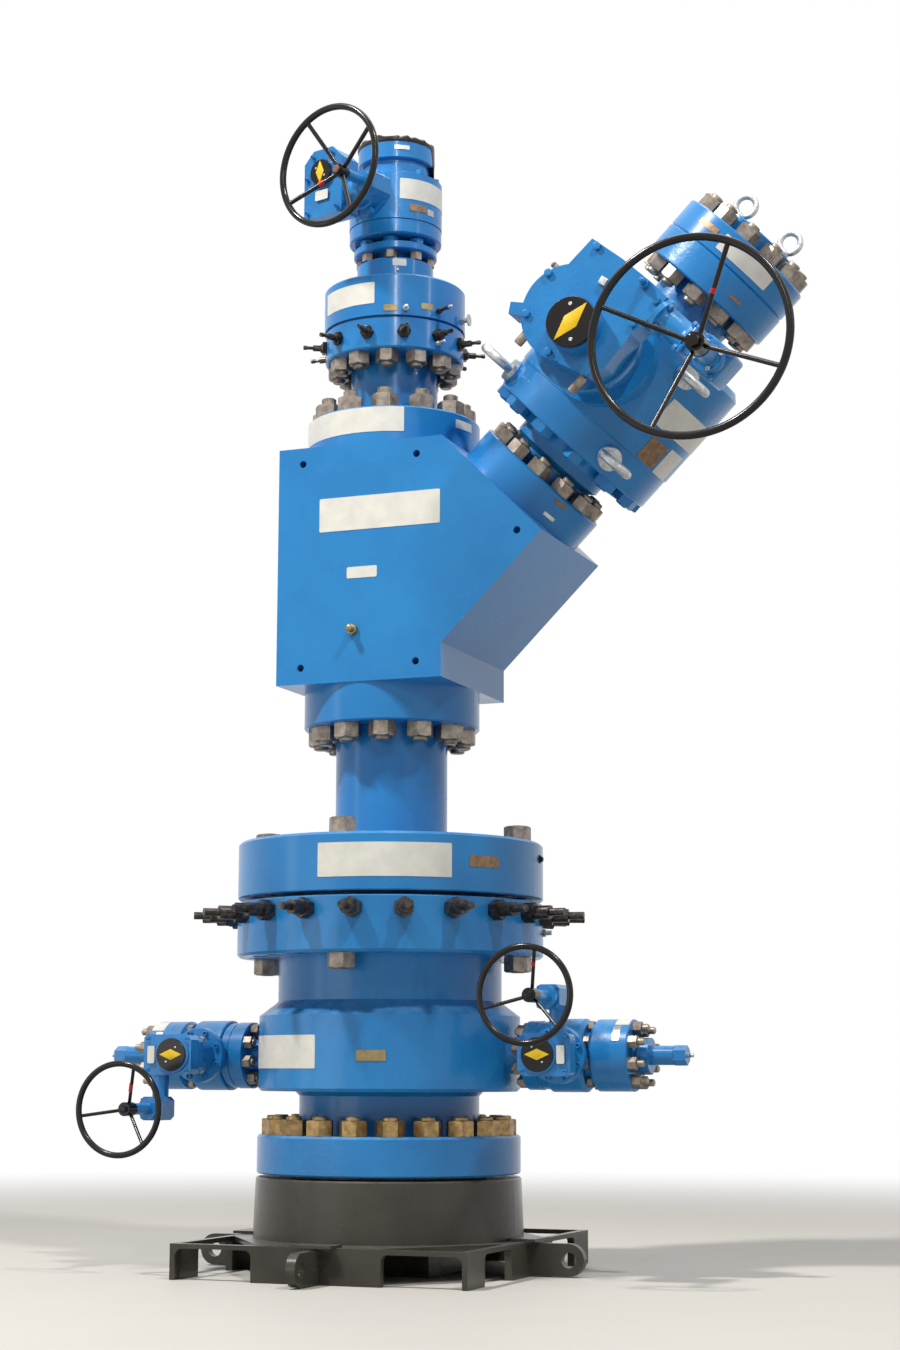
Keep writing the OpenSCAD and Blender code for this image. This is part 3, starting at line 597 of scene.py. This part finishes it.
indicators = {
    "top": {
        "frame": topGear @ moved(0, 0, 335.3), "length": 32, "width": 14, "screws": ((-13, -14.5), (13, 14.5)),
        "screw": 3.2,
    },
    "branch": {
        "frame": branchGear @ moved(0, 0, 529), "length": 62.6, "width": 22, "screws": ((33, 33), (-33, -33)),
        "screw": 5,
    },
    "left": {
        "frame": sideGear(-1) @ moved(0, 0, 280.3), "length": 33, "width": 14.3,
        "screws": ((-13.7, -19), (13.7, 19)), "screw": 2.6,
    },
    "right": {
        "frame": sideGear(1) @ moved(0, 0, 280.3), "length": 33, "width": 14.3,
        "screws": ((-13.7, 19), (13.7, -19)), "screw": 2.6,
    },
}
for word, data in indicators.items():
    arrow = arrowPlate(data["length"], data["width"], 1.4)
    arrow.transform(data["frame"])
    finished(arrow, word + "Arrow", "yellowMarkPaint", word + "_pointer")
    screw = capScrew(data["screw"], 1.6, data["screw"] * 0.9)
    screws = stamped(screw, atSpots(data["frame"], data["screws"], 0))
    finished(screws, word + "ArrowScrews", "brightScrewSteel", word + "_pointer")
print("position discs dressed")


# Handwheel hubs and their red paint dabs

def tubeSleeve(radius, length):
    # Open-looking band round a spoke, standing on z = 0
    return drawnRings(20, [(radius - 0.4, 0), (radius, 0.4), (radius, length - 0.4), (radius - 0.4, length)])


wheels = {
    "top": {
        "frame": topGear @ moved(60, 147, 420), "face": 15, "nut": (20, 8), "cap": "rustBrownCap",
        "spoke": 29 + 270, "rise": 52, "reach": 161, "mark": (0.32, 0.42), "radius": 6,
    },
    "branch": {
        "frame": branchGear @ moved(161, -336, 620), "face": 24, "nut": (30, 12), "cap": "blackEnamelOnWheel",
        "spoke": 21, "rise": 66, "reach": 246, "mark": (0.49, 0.54), "radius": 6.5,
    },
    "left": {
        "frame": sideGear(-1) @ moved(45, 142, 424), "face": 22, "nut": (17, 7), "cap": "blackEnamelOnWheel",
        "spoke": 9 + 240, "rise": 50, "reach": 117, "mark": (0.42, 0.6), "radius": 4.5,
    },
    "right": {
        "frame": sideGear(1) @ moved(45, 142, 448), "face": 22, "nut": (17, 7), "cap": "blackEnamelOnWheel",
        "spoke": 77, "rise": 50, "reach": 117, "mark": (0.62, 0.7), "radius": 4.5,
    },
}
for word, data in wheels.items():
    flats, tall = data["nut"]
    cap = hexHead(flats, tall)
    cap.transform(data["frame"] @ moved(0, 0, data["face"] + 0.5))
    finished(cap, word + "WheelNut", data["cap"], word + "_wheel")
    # The dab wraps the spoke between two shares of its length
    low, high = data["mark"]
    slope = math.atan2(data["rise"], data["reach"])
    length = math.hypot(data["rise"], data["reach"])
    band = tubeSleeve(data["radius"] + 0.5, length * (high - low))
    spoke = data["frame"] @ turned(data["spoke"], "Z") @ turned(90 - math.degrees(slope), "Y")
    band.transform(spoke @ moved(0, 0, length * low))
    finished(band, word + "WheelMark", "redMarkPaint", word + "_wheel")
print("handwheels dressed")


# Blank plates: bent to their flange, or flat on the block

def flatPlate(width, tall, thickness=1.0, corner=4.0, steps=2):
    # A sheet with rounded corners, lying on z = 0
    work = bmesh.new()
    bmesh.ops.create_grid(work, x_segments=steps, y_segments=2, size=0.5)
    corners = [v for v in work.verts if len(v.link_edges) == 2]
    bmesh.ops.scale(work, vec=(width * mm, tall * mm, 1), verts=work.verts)
    bmesh.ops.bevel(
        work, geom=corners, offset=corner * mm, segments=3, profile=0.5, affect="VERTICES", material=-1,
    )
    shell = bmesh.ops.extrude_face_region(work, geom=work.faces[:])["geom"]
    lifted = [g for g in shell if isinstance(g, bmesh.types.BMVert)]
    bmesh.ops.translate(work, vec=(0, 0, thickness * mm), verts=lifted)
    return work


def bentPlate(radius, start, end, low, high, thickness=0.9, corner=3.0):
    # The sheet wrapped round the local Z axis between two turns and two heights
    steps = max(4, int(abs(end - start) / 3))
    work = flatPlate(rad(end - start) * radius, high - low, thickness, corner, steps)
    for v in work.verts:
        angle = rad((start + end) / 2) + v.co.x / (radius * mm)
        away = radius * mm + v.co.z
        v.co = Vector((away * math.cos(angle), away * math.sin(angle), v.co.y + (low + high) / 2 * mm))
    return work


# frame, radius of the surface, from turn, to turn, low, high, finish
plates = {
    "spoolFlangePlate": (upright, 415, -94.4, -45.2, 1016, 1104, "whiteEnamelPlate"),
    "spoolFlangeTag": (upright, 415, -38, -25, 1046, 1076, "copperTag"),
    "blockTopPlate": (upright, 241.5, -150, -61, 2238, 2307, "whiteEnamelPlate"),
    "blockTopTag": (upright, 241.5, -23, -5.5, 2268, 2292, "whiteEnamelPlate"),
    "hangerPlate": (upright, 199, -139, -84, 2616, 2677, "whiteEnamelPlate"),
    "hangerTagLeft": (upright, 199, -76.5, -65.8, 2592, 2610, "dullBrassPlate"),
    "hangerTagRight": (upright, 199, -46, -35.7, 2602, 2620, "dullBrassPlate"),
    "collarPlate": (upright, 108, -71.6, -50.8, 2754, 2774, "whiteEnamelPlate"),
    "topValvePlate": (upright, 132, -62.6, 34, 2943, 3003, "whiteEnamelPlate"),
    "topValveTag": (upright, 132, -50.4, -26.6, 2909, 2929, "copperTag"),
    "topValveSteelTag": (upright, 132, -25, -14, 2906, 2924, "brightSteelPlate"),
    "topCapTag": (upright, 108, -69.7, -47, 3098, 3110, "brightSteelPlate"),
    "headPlate": (upright, 352, -154, -100.5, 530, 616, "whiteEnamelPlate"),
    "headTag": (upright, 352, -81.5, -69, 549, 577, "dullBrassPlate"),
    "branchBodyPlate": (branchFrame, 258, -39, 20, 401, 483, "whiteEnamelPlate"),
    "branchBodyTag": (branchFrame, 258, -32.5, -16, 304, 374, "copperTag"),
    "branchBodyLabel": (branchFrame, 258, -13.5, 6, 300, 380, "whiteEnamelPlate"),
    "blindFlangePlate": (branchFrame, 197, -85.6, -34.3, 846, 893, "whiteEnamelPlate"),
    "blindFlangeTag": (branchFrame, 197, -112.5, -92, 870, 887, "copperTag"),
    "outletFlangeTag": (branchFrame, 197, -53, -42, 775, 784, "copperTag"),
    "endFlangeTagHigh": (branchFrame, 197, -48, -36.6, 69, 80, "copperTag"),
    "endFlangeTagLow": (branchFrame, 197, -48, -37, 25, 35, "brightSteelPlate"),
}
# Turns of the label and of the tag on the closure flange of each side valve
sideTurns = {"left": ((-44, -14), (-66, -48)), "right": ((-176, -146), (-143, -113))}
for hand, word in sides:
    labelTurns, tagTurns = sideTurns[word]
    plates[word + "FlangeLabel"] = (sideAxis(hand), 93, *labelTurns, 652, 690, "whiteEnamelPlate")
    plates[word + "FlangeTag"] = (sideAxis(hand), 93, *tagTurns, 652, 672, "brightSteelPlate")
for name, (frameNow, radius, start, end, low, high, finish) in plates.items():
    thickness, corner = (1.6, 2.0) if "Tag" in name else (0.9, 3.0)
    sheet = bentPlate(radius, start, end, low, high, thickness, corner)
    sheet.transform(frameNow)
    finished(sheet, name, finish, "stack")
frontOfBlock = moved(0, -244, 0) @ turned(90, "X")
flatPlates = {
    "blockPlate": (frontOfBlock @ moved(60, 2013.5, 0), 352, 93, "whiteEnamelPlate"),
    "blockSmallPlate": (frontOfBlock @ moved(10.5, 1849, 0), 88, 31, "whiteEnamelPlate"),
    "topCasePlate": (topGear @ moved(65, 0, 327) @ turned(90, "Z"), 45, 28, "whiteEnamelPlate"),
    "leftCasePlate": (sideGear(-1) @ moved(61, 0, 275) @ turned(90, "Z"), 46, 21, "whiteEnamelPlate"),
    "rightCasePlate": (sideGear(1) @ moved(61, 0, 275) @ turned(90, "Z"), 46, 21, "whiteEnamelPlate"),
}
for name, (place, width, tall, finish) in flatPlates.items():
    sheet = flatPlate(width, tall)
    sheet.transform(place)
    finished(sheet, name, finish, "stack")
print("plates made")


# Small fittings that stand on the surfaces

def nipple(flats, length, stemRadius, tipRadius):
    # Hex base, turned stem and rounded tip of a grease or bleed fitting
    return drawnRings(24, [
        (0.5 * flats, 0), lambda angle: (hexOutline(flats, angle), 0.5),
        lambda angle: (hexOutline(flats, angle), length * 0.3),
        (stemRadius, length * 0.34), (stemRadius, length * 0.66), (tipRadius * 0.7, length * 0.72),
        (tipRadius, length * 0.8), (tipRadius, length * 0.92), (tipRadius * 0.5, length),
    ])


def outward(frameNow, angle, height, radius):
    # Frame on a cylinder whose Z points straight out of it
    return frameNow @ turned(angle, "Z") @ moved(radius, 0, height) @ turned(90, "Y")


fittings = {
    "hangerPlug": {
        "size": (15, 24, 5.5, 5), "finish": "galvanisedEyeSteel", "place": outward(upright, -59, 2600, 199),
    },
    "hangerBleed": {
        "size": (14, 52, 4.5, 6), "finish": "darkScrewSteel", "place": outward(upright, -30.7, 2604, 199),
    },
    "hangerBleedTip": {
        "size": (9, 14, 4, 4), "finish": "galvanisedEyeSteel", "place": outward(upright, -30.7, 2604, 249),
    },
    "hangerTest": {
        "size": (20, 27, 7, 17), "finish": "galvanisedEyeSteel", "place": outward(upright, 2, 2606, 199),
    },
    "lowRingBleed": {
        "size": (12, 40, 4, 4.5), "finish": "galvanisedEyeSteel", "place": outward(upright, -31, 2511, 195),
    },
    "collarPlug": {
        "size": (7, 7, 3, 2.5), "finish": "galvanisedEyeSteel", "place": outward(upright, -64, 2741, 108),
    },
    "spoolPlug": {
        "size": (22, 10, 8, 6), "finish": "blackEnamelOnWheel", "place": outward(upright, 7.5, 1088, 415),
    },
    "spoolTest": {"size": (22, 24, 7, 7), "finish": "galvanisedEyeSteel", "place": outward(upright, 17, 895, 415)},
    "blockPlug": {
        "size": (26, 34, 8.5, 9), "finish": "dullBrassPlate", "place": frontOfBlock @ moved(-14, 1692, 0),
    },
    "branchBreather": {
        "size": (20, 34, 8, 8), "finish": "phosphatedNutSteel",
        "place": branchGear @ moved(80, 155, 440) @ turned(-90, "X"),
    },
    "leftTubeTip": {
        "size": (13, 17, 5, 5), "finish": "galvanisedEyeSteel", "place": sideAxis(-1) @ moved(0, 0, 831),
    },
    "rightTubeTip": {
        "size": (13, 17, 5, 5), "finish": "galvanisedEyeSteel", "place": sideAxis(1) @ moved(0, 0, 831),
    },
}
for name, data in fittings.items():
    work = nipple(*data["size"])
    work.transform(data["place"])
    finished(work, name, data["finish"], "stack")
hangerScrews = {
    "count": 12, "height": 2534.8, "gland": (34, 13), "glandFrom": 193.5, "tip": (6.2, 10, 6), "tipFrom": 249.5,
}


def hangerRing(radius):
    turns = [i * 360 / hangerScrews["count"] for i in range(hangerScrews["count"])]
    return [outward(upright, turn, hangerScrews["height"], radius) for turn in turns]


glands = stamped(hexHead(*hangerScrews["gland"]), hangerRing(hangerScrews["glandFrom"]))
finished(glands, "hangerGlands", "blackEnamelOnWheel", "stack")
tips = stamped(capScrew(*hangerScrews["tip"]), hangerRing(hangerScrews["tipFrom"]))
finished(tips, "hangerScrewTips", "darkScrewSteel", "stack")
print("fittings made")


# Crumpled black film over the top cap

coverLook = {
    "radius": 108, "height": 3126.6, "rise": 13, "crease": 12, "puff": 9, "foldsPerMetre": 26, "bulges": 3.1,
    "hang": 95, "hangFrom": 2, "hangTo": 150, "seed": 4.2, "segments": 144,
    "shares": (0.97, 0.94, 0.9, 0.85, 0.79, 0.72, 0.64, 0.55, 0.45, 0.34, 0.22, 0.1),
}


def crumpledCover():
    # Rings from the lower hem over the edge to the middle, then folded by noise
    edge, top = coverLook["radius"], coverLook["height"]
    rings = [(edge + 0.5, top - 1.5 - 0.5 * step) for step in (5, 3, 1)]
    rings += [(edge + 2.5, top + 0.5), (edge + 2.5, top + 3), (edge + 0.5, top + 6)]
    rings += [(edge * share, top + 6 + coverLook["rise"] * (1 - share) ** 0.5) for share in coverLook["shares"]]
    work = drawnRings(coverLook["segments"], rings)
    folds, bulges = coverLook["foldsPerMetre"], coverLook["bulges"]
    for v in work.verts:
        reach = math.hypot(v.co.x, v.co.y) / (edge * mm)
        angle = math.degrees(math.atan2(v.co.y, v.co.x))
        around = Vector((math.cos(rad(angle)) * bulges, math.sin(rad(angle)) * bulges, coverLook["seed"]))
        spot = Vector((v.co.x * folds, v.co.y * folds, coverLook["seed"]))
        fold = abs(noise.noise(spot)) + 0.45 * abs(noise.noise(spot * 2.6))
        puff = max(0.0, noise.noise(around) + 0.25)
        if v.co.z > (top + 2) * mm:
            v.co.z += (coverLook["crease"] * fold + coverLook["puff"] * puff * max(0.0, reach - 0.5)) * mm
        elif v.co.z < top * mm:
            # Hem: short at the front, long on the right side
            middle = (coverLook["hangFrom"] + coverLook["hangTo"]) / 2
            half = (coverLook["hangTo"] - coverLook["hangFrom"]) / 2
            share = min(1.0, max(0.0, 1 - abs(angle - middle) / half) * 4)
            depth = (top * mm - v.co.z) / (4 * mm)
            v.co.z -= depth * (share * coverLook["hang"] * (0.75 + 0.5 * fold)) * mm
            swell = 1 + (0.004 + 0.03 * share * abs(noise.noise(spot * 1.7 + Vector((0, 0, v.co.z * 30)))))
            v.co.x *= swell
            v.co.y *= swell
    return work


cover = finished(crumpledCover(), "capFilm", "blackFilm", "stack")
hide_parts("top_cap_cover")


# Weld bead round the foot of the pedestal

beadLook = {"radius": 352, "height": 90, "width": 7, "ripple": 0.0012, "waves": 170}
around, foot, width = beadLook["radius"], beadLook["height"], beadLook["width"]
bead = drawnRings(240, [
    (around - 1, foot), (around + width, foot + 0.5), (around + width * 0.75, foot + 4.5), (around + 2, foot + 7.5),
    (around - 1, foot + 8),
])
for v in bead.verts:
    angle = math.atan2(v.co.y, v.co.x)
    ripple = 1
    if math.hypot(v.co.x, v.co.y) > (around + 3) * mm:
        ripple = 1 + beadLook["ripple"] * math.sin(angle * beadLook["waves"])
    v.co.x *= ripple
    v.co.y *= ripple
finished(bead, "pedestalWeld", "greyEnamelOnPlate", "stack")
print("cover and weld made")


# Worm housing and bevel box of the branch valve: a cast tube between a bearing flange and the box

wormLook = {
    "x": 161, "z": 440, "from": 134, "tube": 37, "flange": 50, "plate": 244, "end": 336,
    "plateSize": (88, 13, 80, 4), "boxSize": (92, 92, 100, 11, 4), "boxHeight": 450,
    "neckSize": (70, 60, 66, 8), "ribSize": (9, 74, 3),
}


def roundedBlock(sizeX, sizeY, sizeZ, corner, steps=3):
    work = bmesh.new()
    bmesh.ops.create_cube(work, size=1)
    bmesh.ops.scale(work, vec=(sizeX * mm, sizeY * mm, sizeZ * mm), verts=work.verts)
    bmesh.ops.bevel(
        work, geom=work.edges[:], offset=corner * mm, segments=steps, profile=0.5, affect="EDGES", material=-1,
    )
    return work


def joined(parts):
    # One mesh out of several
    work = bmesh.new()
    for part, place in parts:
        mesh = bpy.data.meshes.new("part")
        part.to_mesh(mesh)
        part.free()
        mesh.transform(place)
        work.from_mesh(mesh)
        bpy.data.meshes.remove(mesh)
    return work


def branchHousing():
    look = wormLook
    start = branchGear @ moved(look["x"], -look["from"], look["z"]) @ turned(90, "X")
    tube, flange = look["tube"], look["flange"]
    run = look["plate"] - look["from"]
    worm = drawnRings(48, [
        (20, 0), (flange - 1, 0), (flange, 1), (flange, 15), (flange - 2, 17), (tube + 7, 18), (tube + 3, 21),
        (tube + 0.8, 26), (tube, 33), (tube, run - 22), (tube + 1, run - 14), (tube + 4, run - 7),
        (tube + 9, run - 2), (tube + 9, run), (20, run),
    ])
    cap = drawnRings(48, [
        (30, 497), (43, 498), (43, 515), (42, 517), (40, 518), (31, 518), (28, 520), (26, 524), (26, 587),
        (24.5, 589), (15, 589), (12.5, 590), (12, 592), (12, 646), (10.5, 648), (3, 648),
    ])
    ribWide, ribTall, ribCorner = look["ribSize"]
    rib = roundedBlock(ribWide, run - 30, ribTall, ribCorner)

    def behind(y, z):
        return branchGear @ moved(look["x"], -y, z)

    return joined([
        (worm, start), (roundedBlock(*look["plateSize"]), behind(look["plate"] + 6, look["z"])),
        (roundedBlock(*look["boxSize"]), behind(look["end"], look["boxHeight"])), (cap, behind(look["end"], 0)),
        (roundedBlock(*look["neckSize"]), behind(look["plate"] + 30, look["z"])),
        (rib, behind((look["from"] + look["plate"]) / 2, look["z"])),
    ])


# The bonnet under the gear case: a plain drum that flares into a round mounting flange

bonnetLook = {"foot": 268, "drum": 114, "flange": 145, "under": 374, "top": 395.5}
foot, drum, rim = bonnetLook["foot"], bonnetLook["drum"], bonnetLook["flange"]
under, top = bonnetLook["under"], bonnetLook["top"]
bonnet = drawnRings(96, [
    (60, foot), (drum, foot), (drum, under - 12), (drum + 1.5, under - 5), (drum + 6, under - 0.5),
    (rim - 2, under), (rim, under + 2), (rim, top - 3), (rim - 3, top), (60, top),
])
bonnet.transform(branchGear)
drumPiece = finished(bonnet, "branchBonnetDrum", "blueEnamelOnCasting", "stack")
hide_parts("branch_bonnet")

housing = finished(branchHousing(), "branchWormHousing", "blueEnamelOnCasting", "stack")
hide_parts("branch_bevel_box")

# Bolts of the two worm flanges: distance, turn, reach in x and z; then those of the bevel box
wormRows = ((151, 90, 31, 31), (243.5, -90, 37, 33))
boxBolts = {"reach": 37, "height": 500}
boltHeads = {"worm": (17, 11), "box": (13, 8)}
parts = []
for depth, turn, reachX, reachZ in wormRows:
    for x, z in squareSpots(wormLook["x"], wormLook["z"], reachX, reachZ):
        parts.append((hexHead(*boltHeads["worm"]), branchGear @ moved(x, -depth, z) @ turned(turn, "X")))
for x, y in squareSpots(wormLook["x"], -wormLook["end"], boxBolts["reach"], boxBolts["reach"]):
    parts.append((hexHead(*boltHeads["box"]), branchGear @ moved(x, y, boxBolts["height"])))
finished(joined(parts), "branchWormBolts", "blueEnamelOnForging", "stack")

stops = {
    "stud": (193, -64, 480), "studNut": (24, 14, 7, 24), "pins": ((-82, -90, 440), (-82, 112, 440)),
    "plug": (130, 25, 485), "plugSize": (21, 21, 13, 2.5), "plugTurn": 10,
}
stopStud = hexNut(*stops["studNut"])
stopStud.transform(branchGear @ moved(*stops["stud"]))
finished(stopStud, "branchStopStud", "blueEnamelOnForging", "stack")
stopPin = drawnRings(32, [(9, 0), (12, 0), (12, 48), (11.5, 49.5), (10, 50.5), (7, 51)])
stopPins = stamped(stopPin, [branchGear @ moved(*pin) @ turned(-90, "Y") for pin in stops["pins"]])
finished(stopPins, "branchStopPins", "phosphatedNutSteel", "stack")
plug = roundedBlock(*stops["plugSize"])
plug.transform(branchGear @ moved(*stops["plug"]) @ turned(stops["plugTurn"], "Z"))
finished(plug, "branchSquarePlug", "galvanisedEyeSteel", "stack")
print("branch housing made")


# Floor, light and camera

floorLook = {"radius": 30.0, "colour": "#C8C6C1", "fadeFrom": 2.2, "fadeTo": 7.0}
floorMesh = bmesh.new()
bmesh.ops.create_circle(floorMesh, cap_ends=True, radius=floorLook["radius"], segments=64)
floorData = bpy.data.meshes.new("floor")
floorMesh.to_mesh(floorData)
floorMesh.free()
floor = bpy.data.objects.new("floor", floorData)
floor.location.z = -0.0005
bpy.context.scene.collection.objects.link(floor)
floor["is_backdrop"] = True
# Pale painted floor: matt, and white from some way off
floorMaterial, tree = newMaterial("palePaintedFloor")
spot = addNode(tree, "ShaderNodeTexCoord").outputs["Object"]
grain = addNode(tree, "ShaderNodeTexNoise", {"Scale": 3.0, "Detail": 5.0}, {"Vector": spot})
tone = addNode(tree, "ShaderNodeMapRange", {"To Min": 0.94, "To Max": 1.0}, {"Value": grain.outputs["Fac"]})
shadeColour = addNode(
    tree, "ShaderNodeMix",
    {"data_type": "RGBA", "blend_type": "MULTIPLY", 0: 1.0, 6: hexColour(floorLook["colour"])},
    {7: tone.outputs[0]},
)
plain = addNode(
    tree, "ShaderNodeBsdfPrincipled", {"Roughness": 0.6, "Specular IOR Level": 0.3},
    {"Base Color": shadeColour.outputs[2]},
)
white = addNode(tree, "ShaderNodeEmission", {"Color": (1, 1, 1, 1), "Strength": 1.0})
away = addNode(tree, "ShaderNodeVectorMath", {"operation": "LENGTH"}, {0: spot})
fade = addNode(
    tree, "ShaderNodeMapRange",
    {"From Min": floorLook["fadeFrom"], "From Max": floorLook["fadeTo"], "interpolation_type": "SMOOTHSTEP"},
    {"Value": away.outputs["Value"]},
)
seen = addNode(tree, "ShaderNodeLightPath")
seenOrGloss = addNode(
    tree, "ShaderNodeMath", {"operation": "MAXIMUM"},
    {0: seen.outputs["Is Camera Ray"], 1: seen.outputs["Is Glossy Ray"]},
)
amount = addNode(tree, "ShaderNodeMath", {"operation": "MULTIPLY"}, {0: fade.outputs[0], 1: seenOrGloss.outputs[0]})
mixed = addNode(tree, "ShaderNodeMixShader", None, {0: amount.outputs[0], 1: plain.outputs[0], 2: white.outputs[0]})
addNode(tree, "ShaderNodeOutputMaterial", None, {"Surface": mixed.outputs[0]})
floor.data.materials.append(floorMaterial)

world = bpy.data.worlds.new("studio")
bpy.context.scene.world = world
world.use_nodes = True
tree = world.node_tree
tree.nodes.clear()
ray = addNode(tree, "ShaderNodeLightPath")
shiny = addNode(
    tree, "ShaderNodeMath", {"operation": "MAXIMUM"},
    {0: ray.outputs["Is Glossy Ray"], 1: ray.outputs["Is Transmission Ray"]},
)
direct = addNode(
    tree, "ShaderNodeMath", {"operation": "MAXIMUM"}, {0: ray.outputs["Is Camera Ray"], 1: shiny.outputs[0]},
)
ambient = addNode(tree, "ShaderNodeBackground", {"Color": hexColour("#F2F5F8"), "Strength": 0.1})
backdrop = addNode(tree, "ShaderNodeBackground", {"Color": (1, 1, 1, 1), "Strength": 1.0})
sky = addNode(
    tree, "ShaderNodeMixShader", None, {0: direct.outputs[0], 1: ambient.outputs[0], 2: backdrop.outputs[0]},
)
addNode(tree, "ShaderNodeOutputWorld", None, {"Surface": sky.outputs[0]})

lamps = {
    "keyLamp": {
        "place": (-2.7, -3.6, 7.9), "aim": (0.1, 0, 1.5), "size": (0.55, 0.55), "power": 640, "colour": "#FFFAF3",
    },
    "keyRight": {
        "place": (4.2, -2.9, 8.0), "aim": (0.1, 0, 1.5), "size": (0.55, 0.55), "power": 360, "colour": "#FFFAF3",
    },
    "fillLamp": {
        "place": (5.2, -3.0, 2.4), "aim": (0.2, 0, 1.4), "size": (2.6, 2.6), "power": 5, "colour": "#EFF4FF",
    },
    "topLamp": {
        "place": (0.4, 0.9, 6.4), "aim": (0.2, 0, 1.5), "size": (2.4, 2.4), "power": 50, "colour": "#FFFFFF",
    },
    "leftStrip": {
        "place": (-3.4, -2.6, 1.8), "aim": (0, 0, 1.5), "size": (0.7, 3.0), "power": 10, "colour": "#FFFFFF",
    },
    "lowFront": {
        "place": (-2.3, -4.1, 0.8), "aim": (0, 0, 0.4), "size": (2.2, 1.1), "power": 12, "colour": "#FFFAF3",
    },
    "tubeLamp": {
        "place": (2.15, -4.85, 4.75), "aim": (0, 0, 2.8), "size": (0.36, 1.2), "power": 46, "colour": "#FFFFFF",
    },
    "tubeRight": {
        "place": (5.9, -1.04, 4.3), "aim": (0, 0, 2.6), "size": (0.25, 1.4), "power": 16, "colour": "#FFFFFF",
    },
}
for name, data in lamps.items():
    light = bpy.data.lights.new(name, "AREA")
    light.shape = "RECTANGLE"
    light.size, light.size_y = data["size"]
    light.energy = data["power"]
    light.color = hexColour(data["colour"])[:3]
    lamp = bpy.data.objects.new(name, light)
    aim = Vector(data["aim"]) - Vector(data["place"])
    lamp.matrix_world = Matrix.Translation(data["place"]) @ aim.to_track_quat("-Z", "Y").to_matrix().to_4x4()
    bpy.context.scene.collection.objects.link(lamp)

cameraLook = {
    "place": (2.509, -5.997, 0.515), "heading": 21.298, "tilt": 9.54, "roll": 0.178, "lens": 63.43, "sensor": 36,
}
cameraData = bpy.data.cameras.new("camera")
cameraData.sensor_fit = "VERTICAL"
cameraData.sensor_width = cameraData.sensor_height = cameraLook["sensor"]
cameraData.lens = cameraLook["lens"]
camera = bpy.data.objects.new("camera", cameraData)
aimed = turned(cameraLook["heading"], "Z") @ turned(90 + cameraLook["tilt"], "X") @ turned(cameraLook["roll"], "Z")
camera.matrix_world = Matrix.Translation(cameraLook["place"]) @ aimed
bpy.context.scene.collection.objects.link(camera)
bpy.context.scene.camera = camera
bpy.context.scene.view_settings.view_transform = "Standard"
print("floor, light and camera set")

low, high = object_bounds()
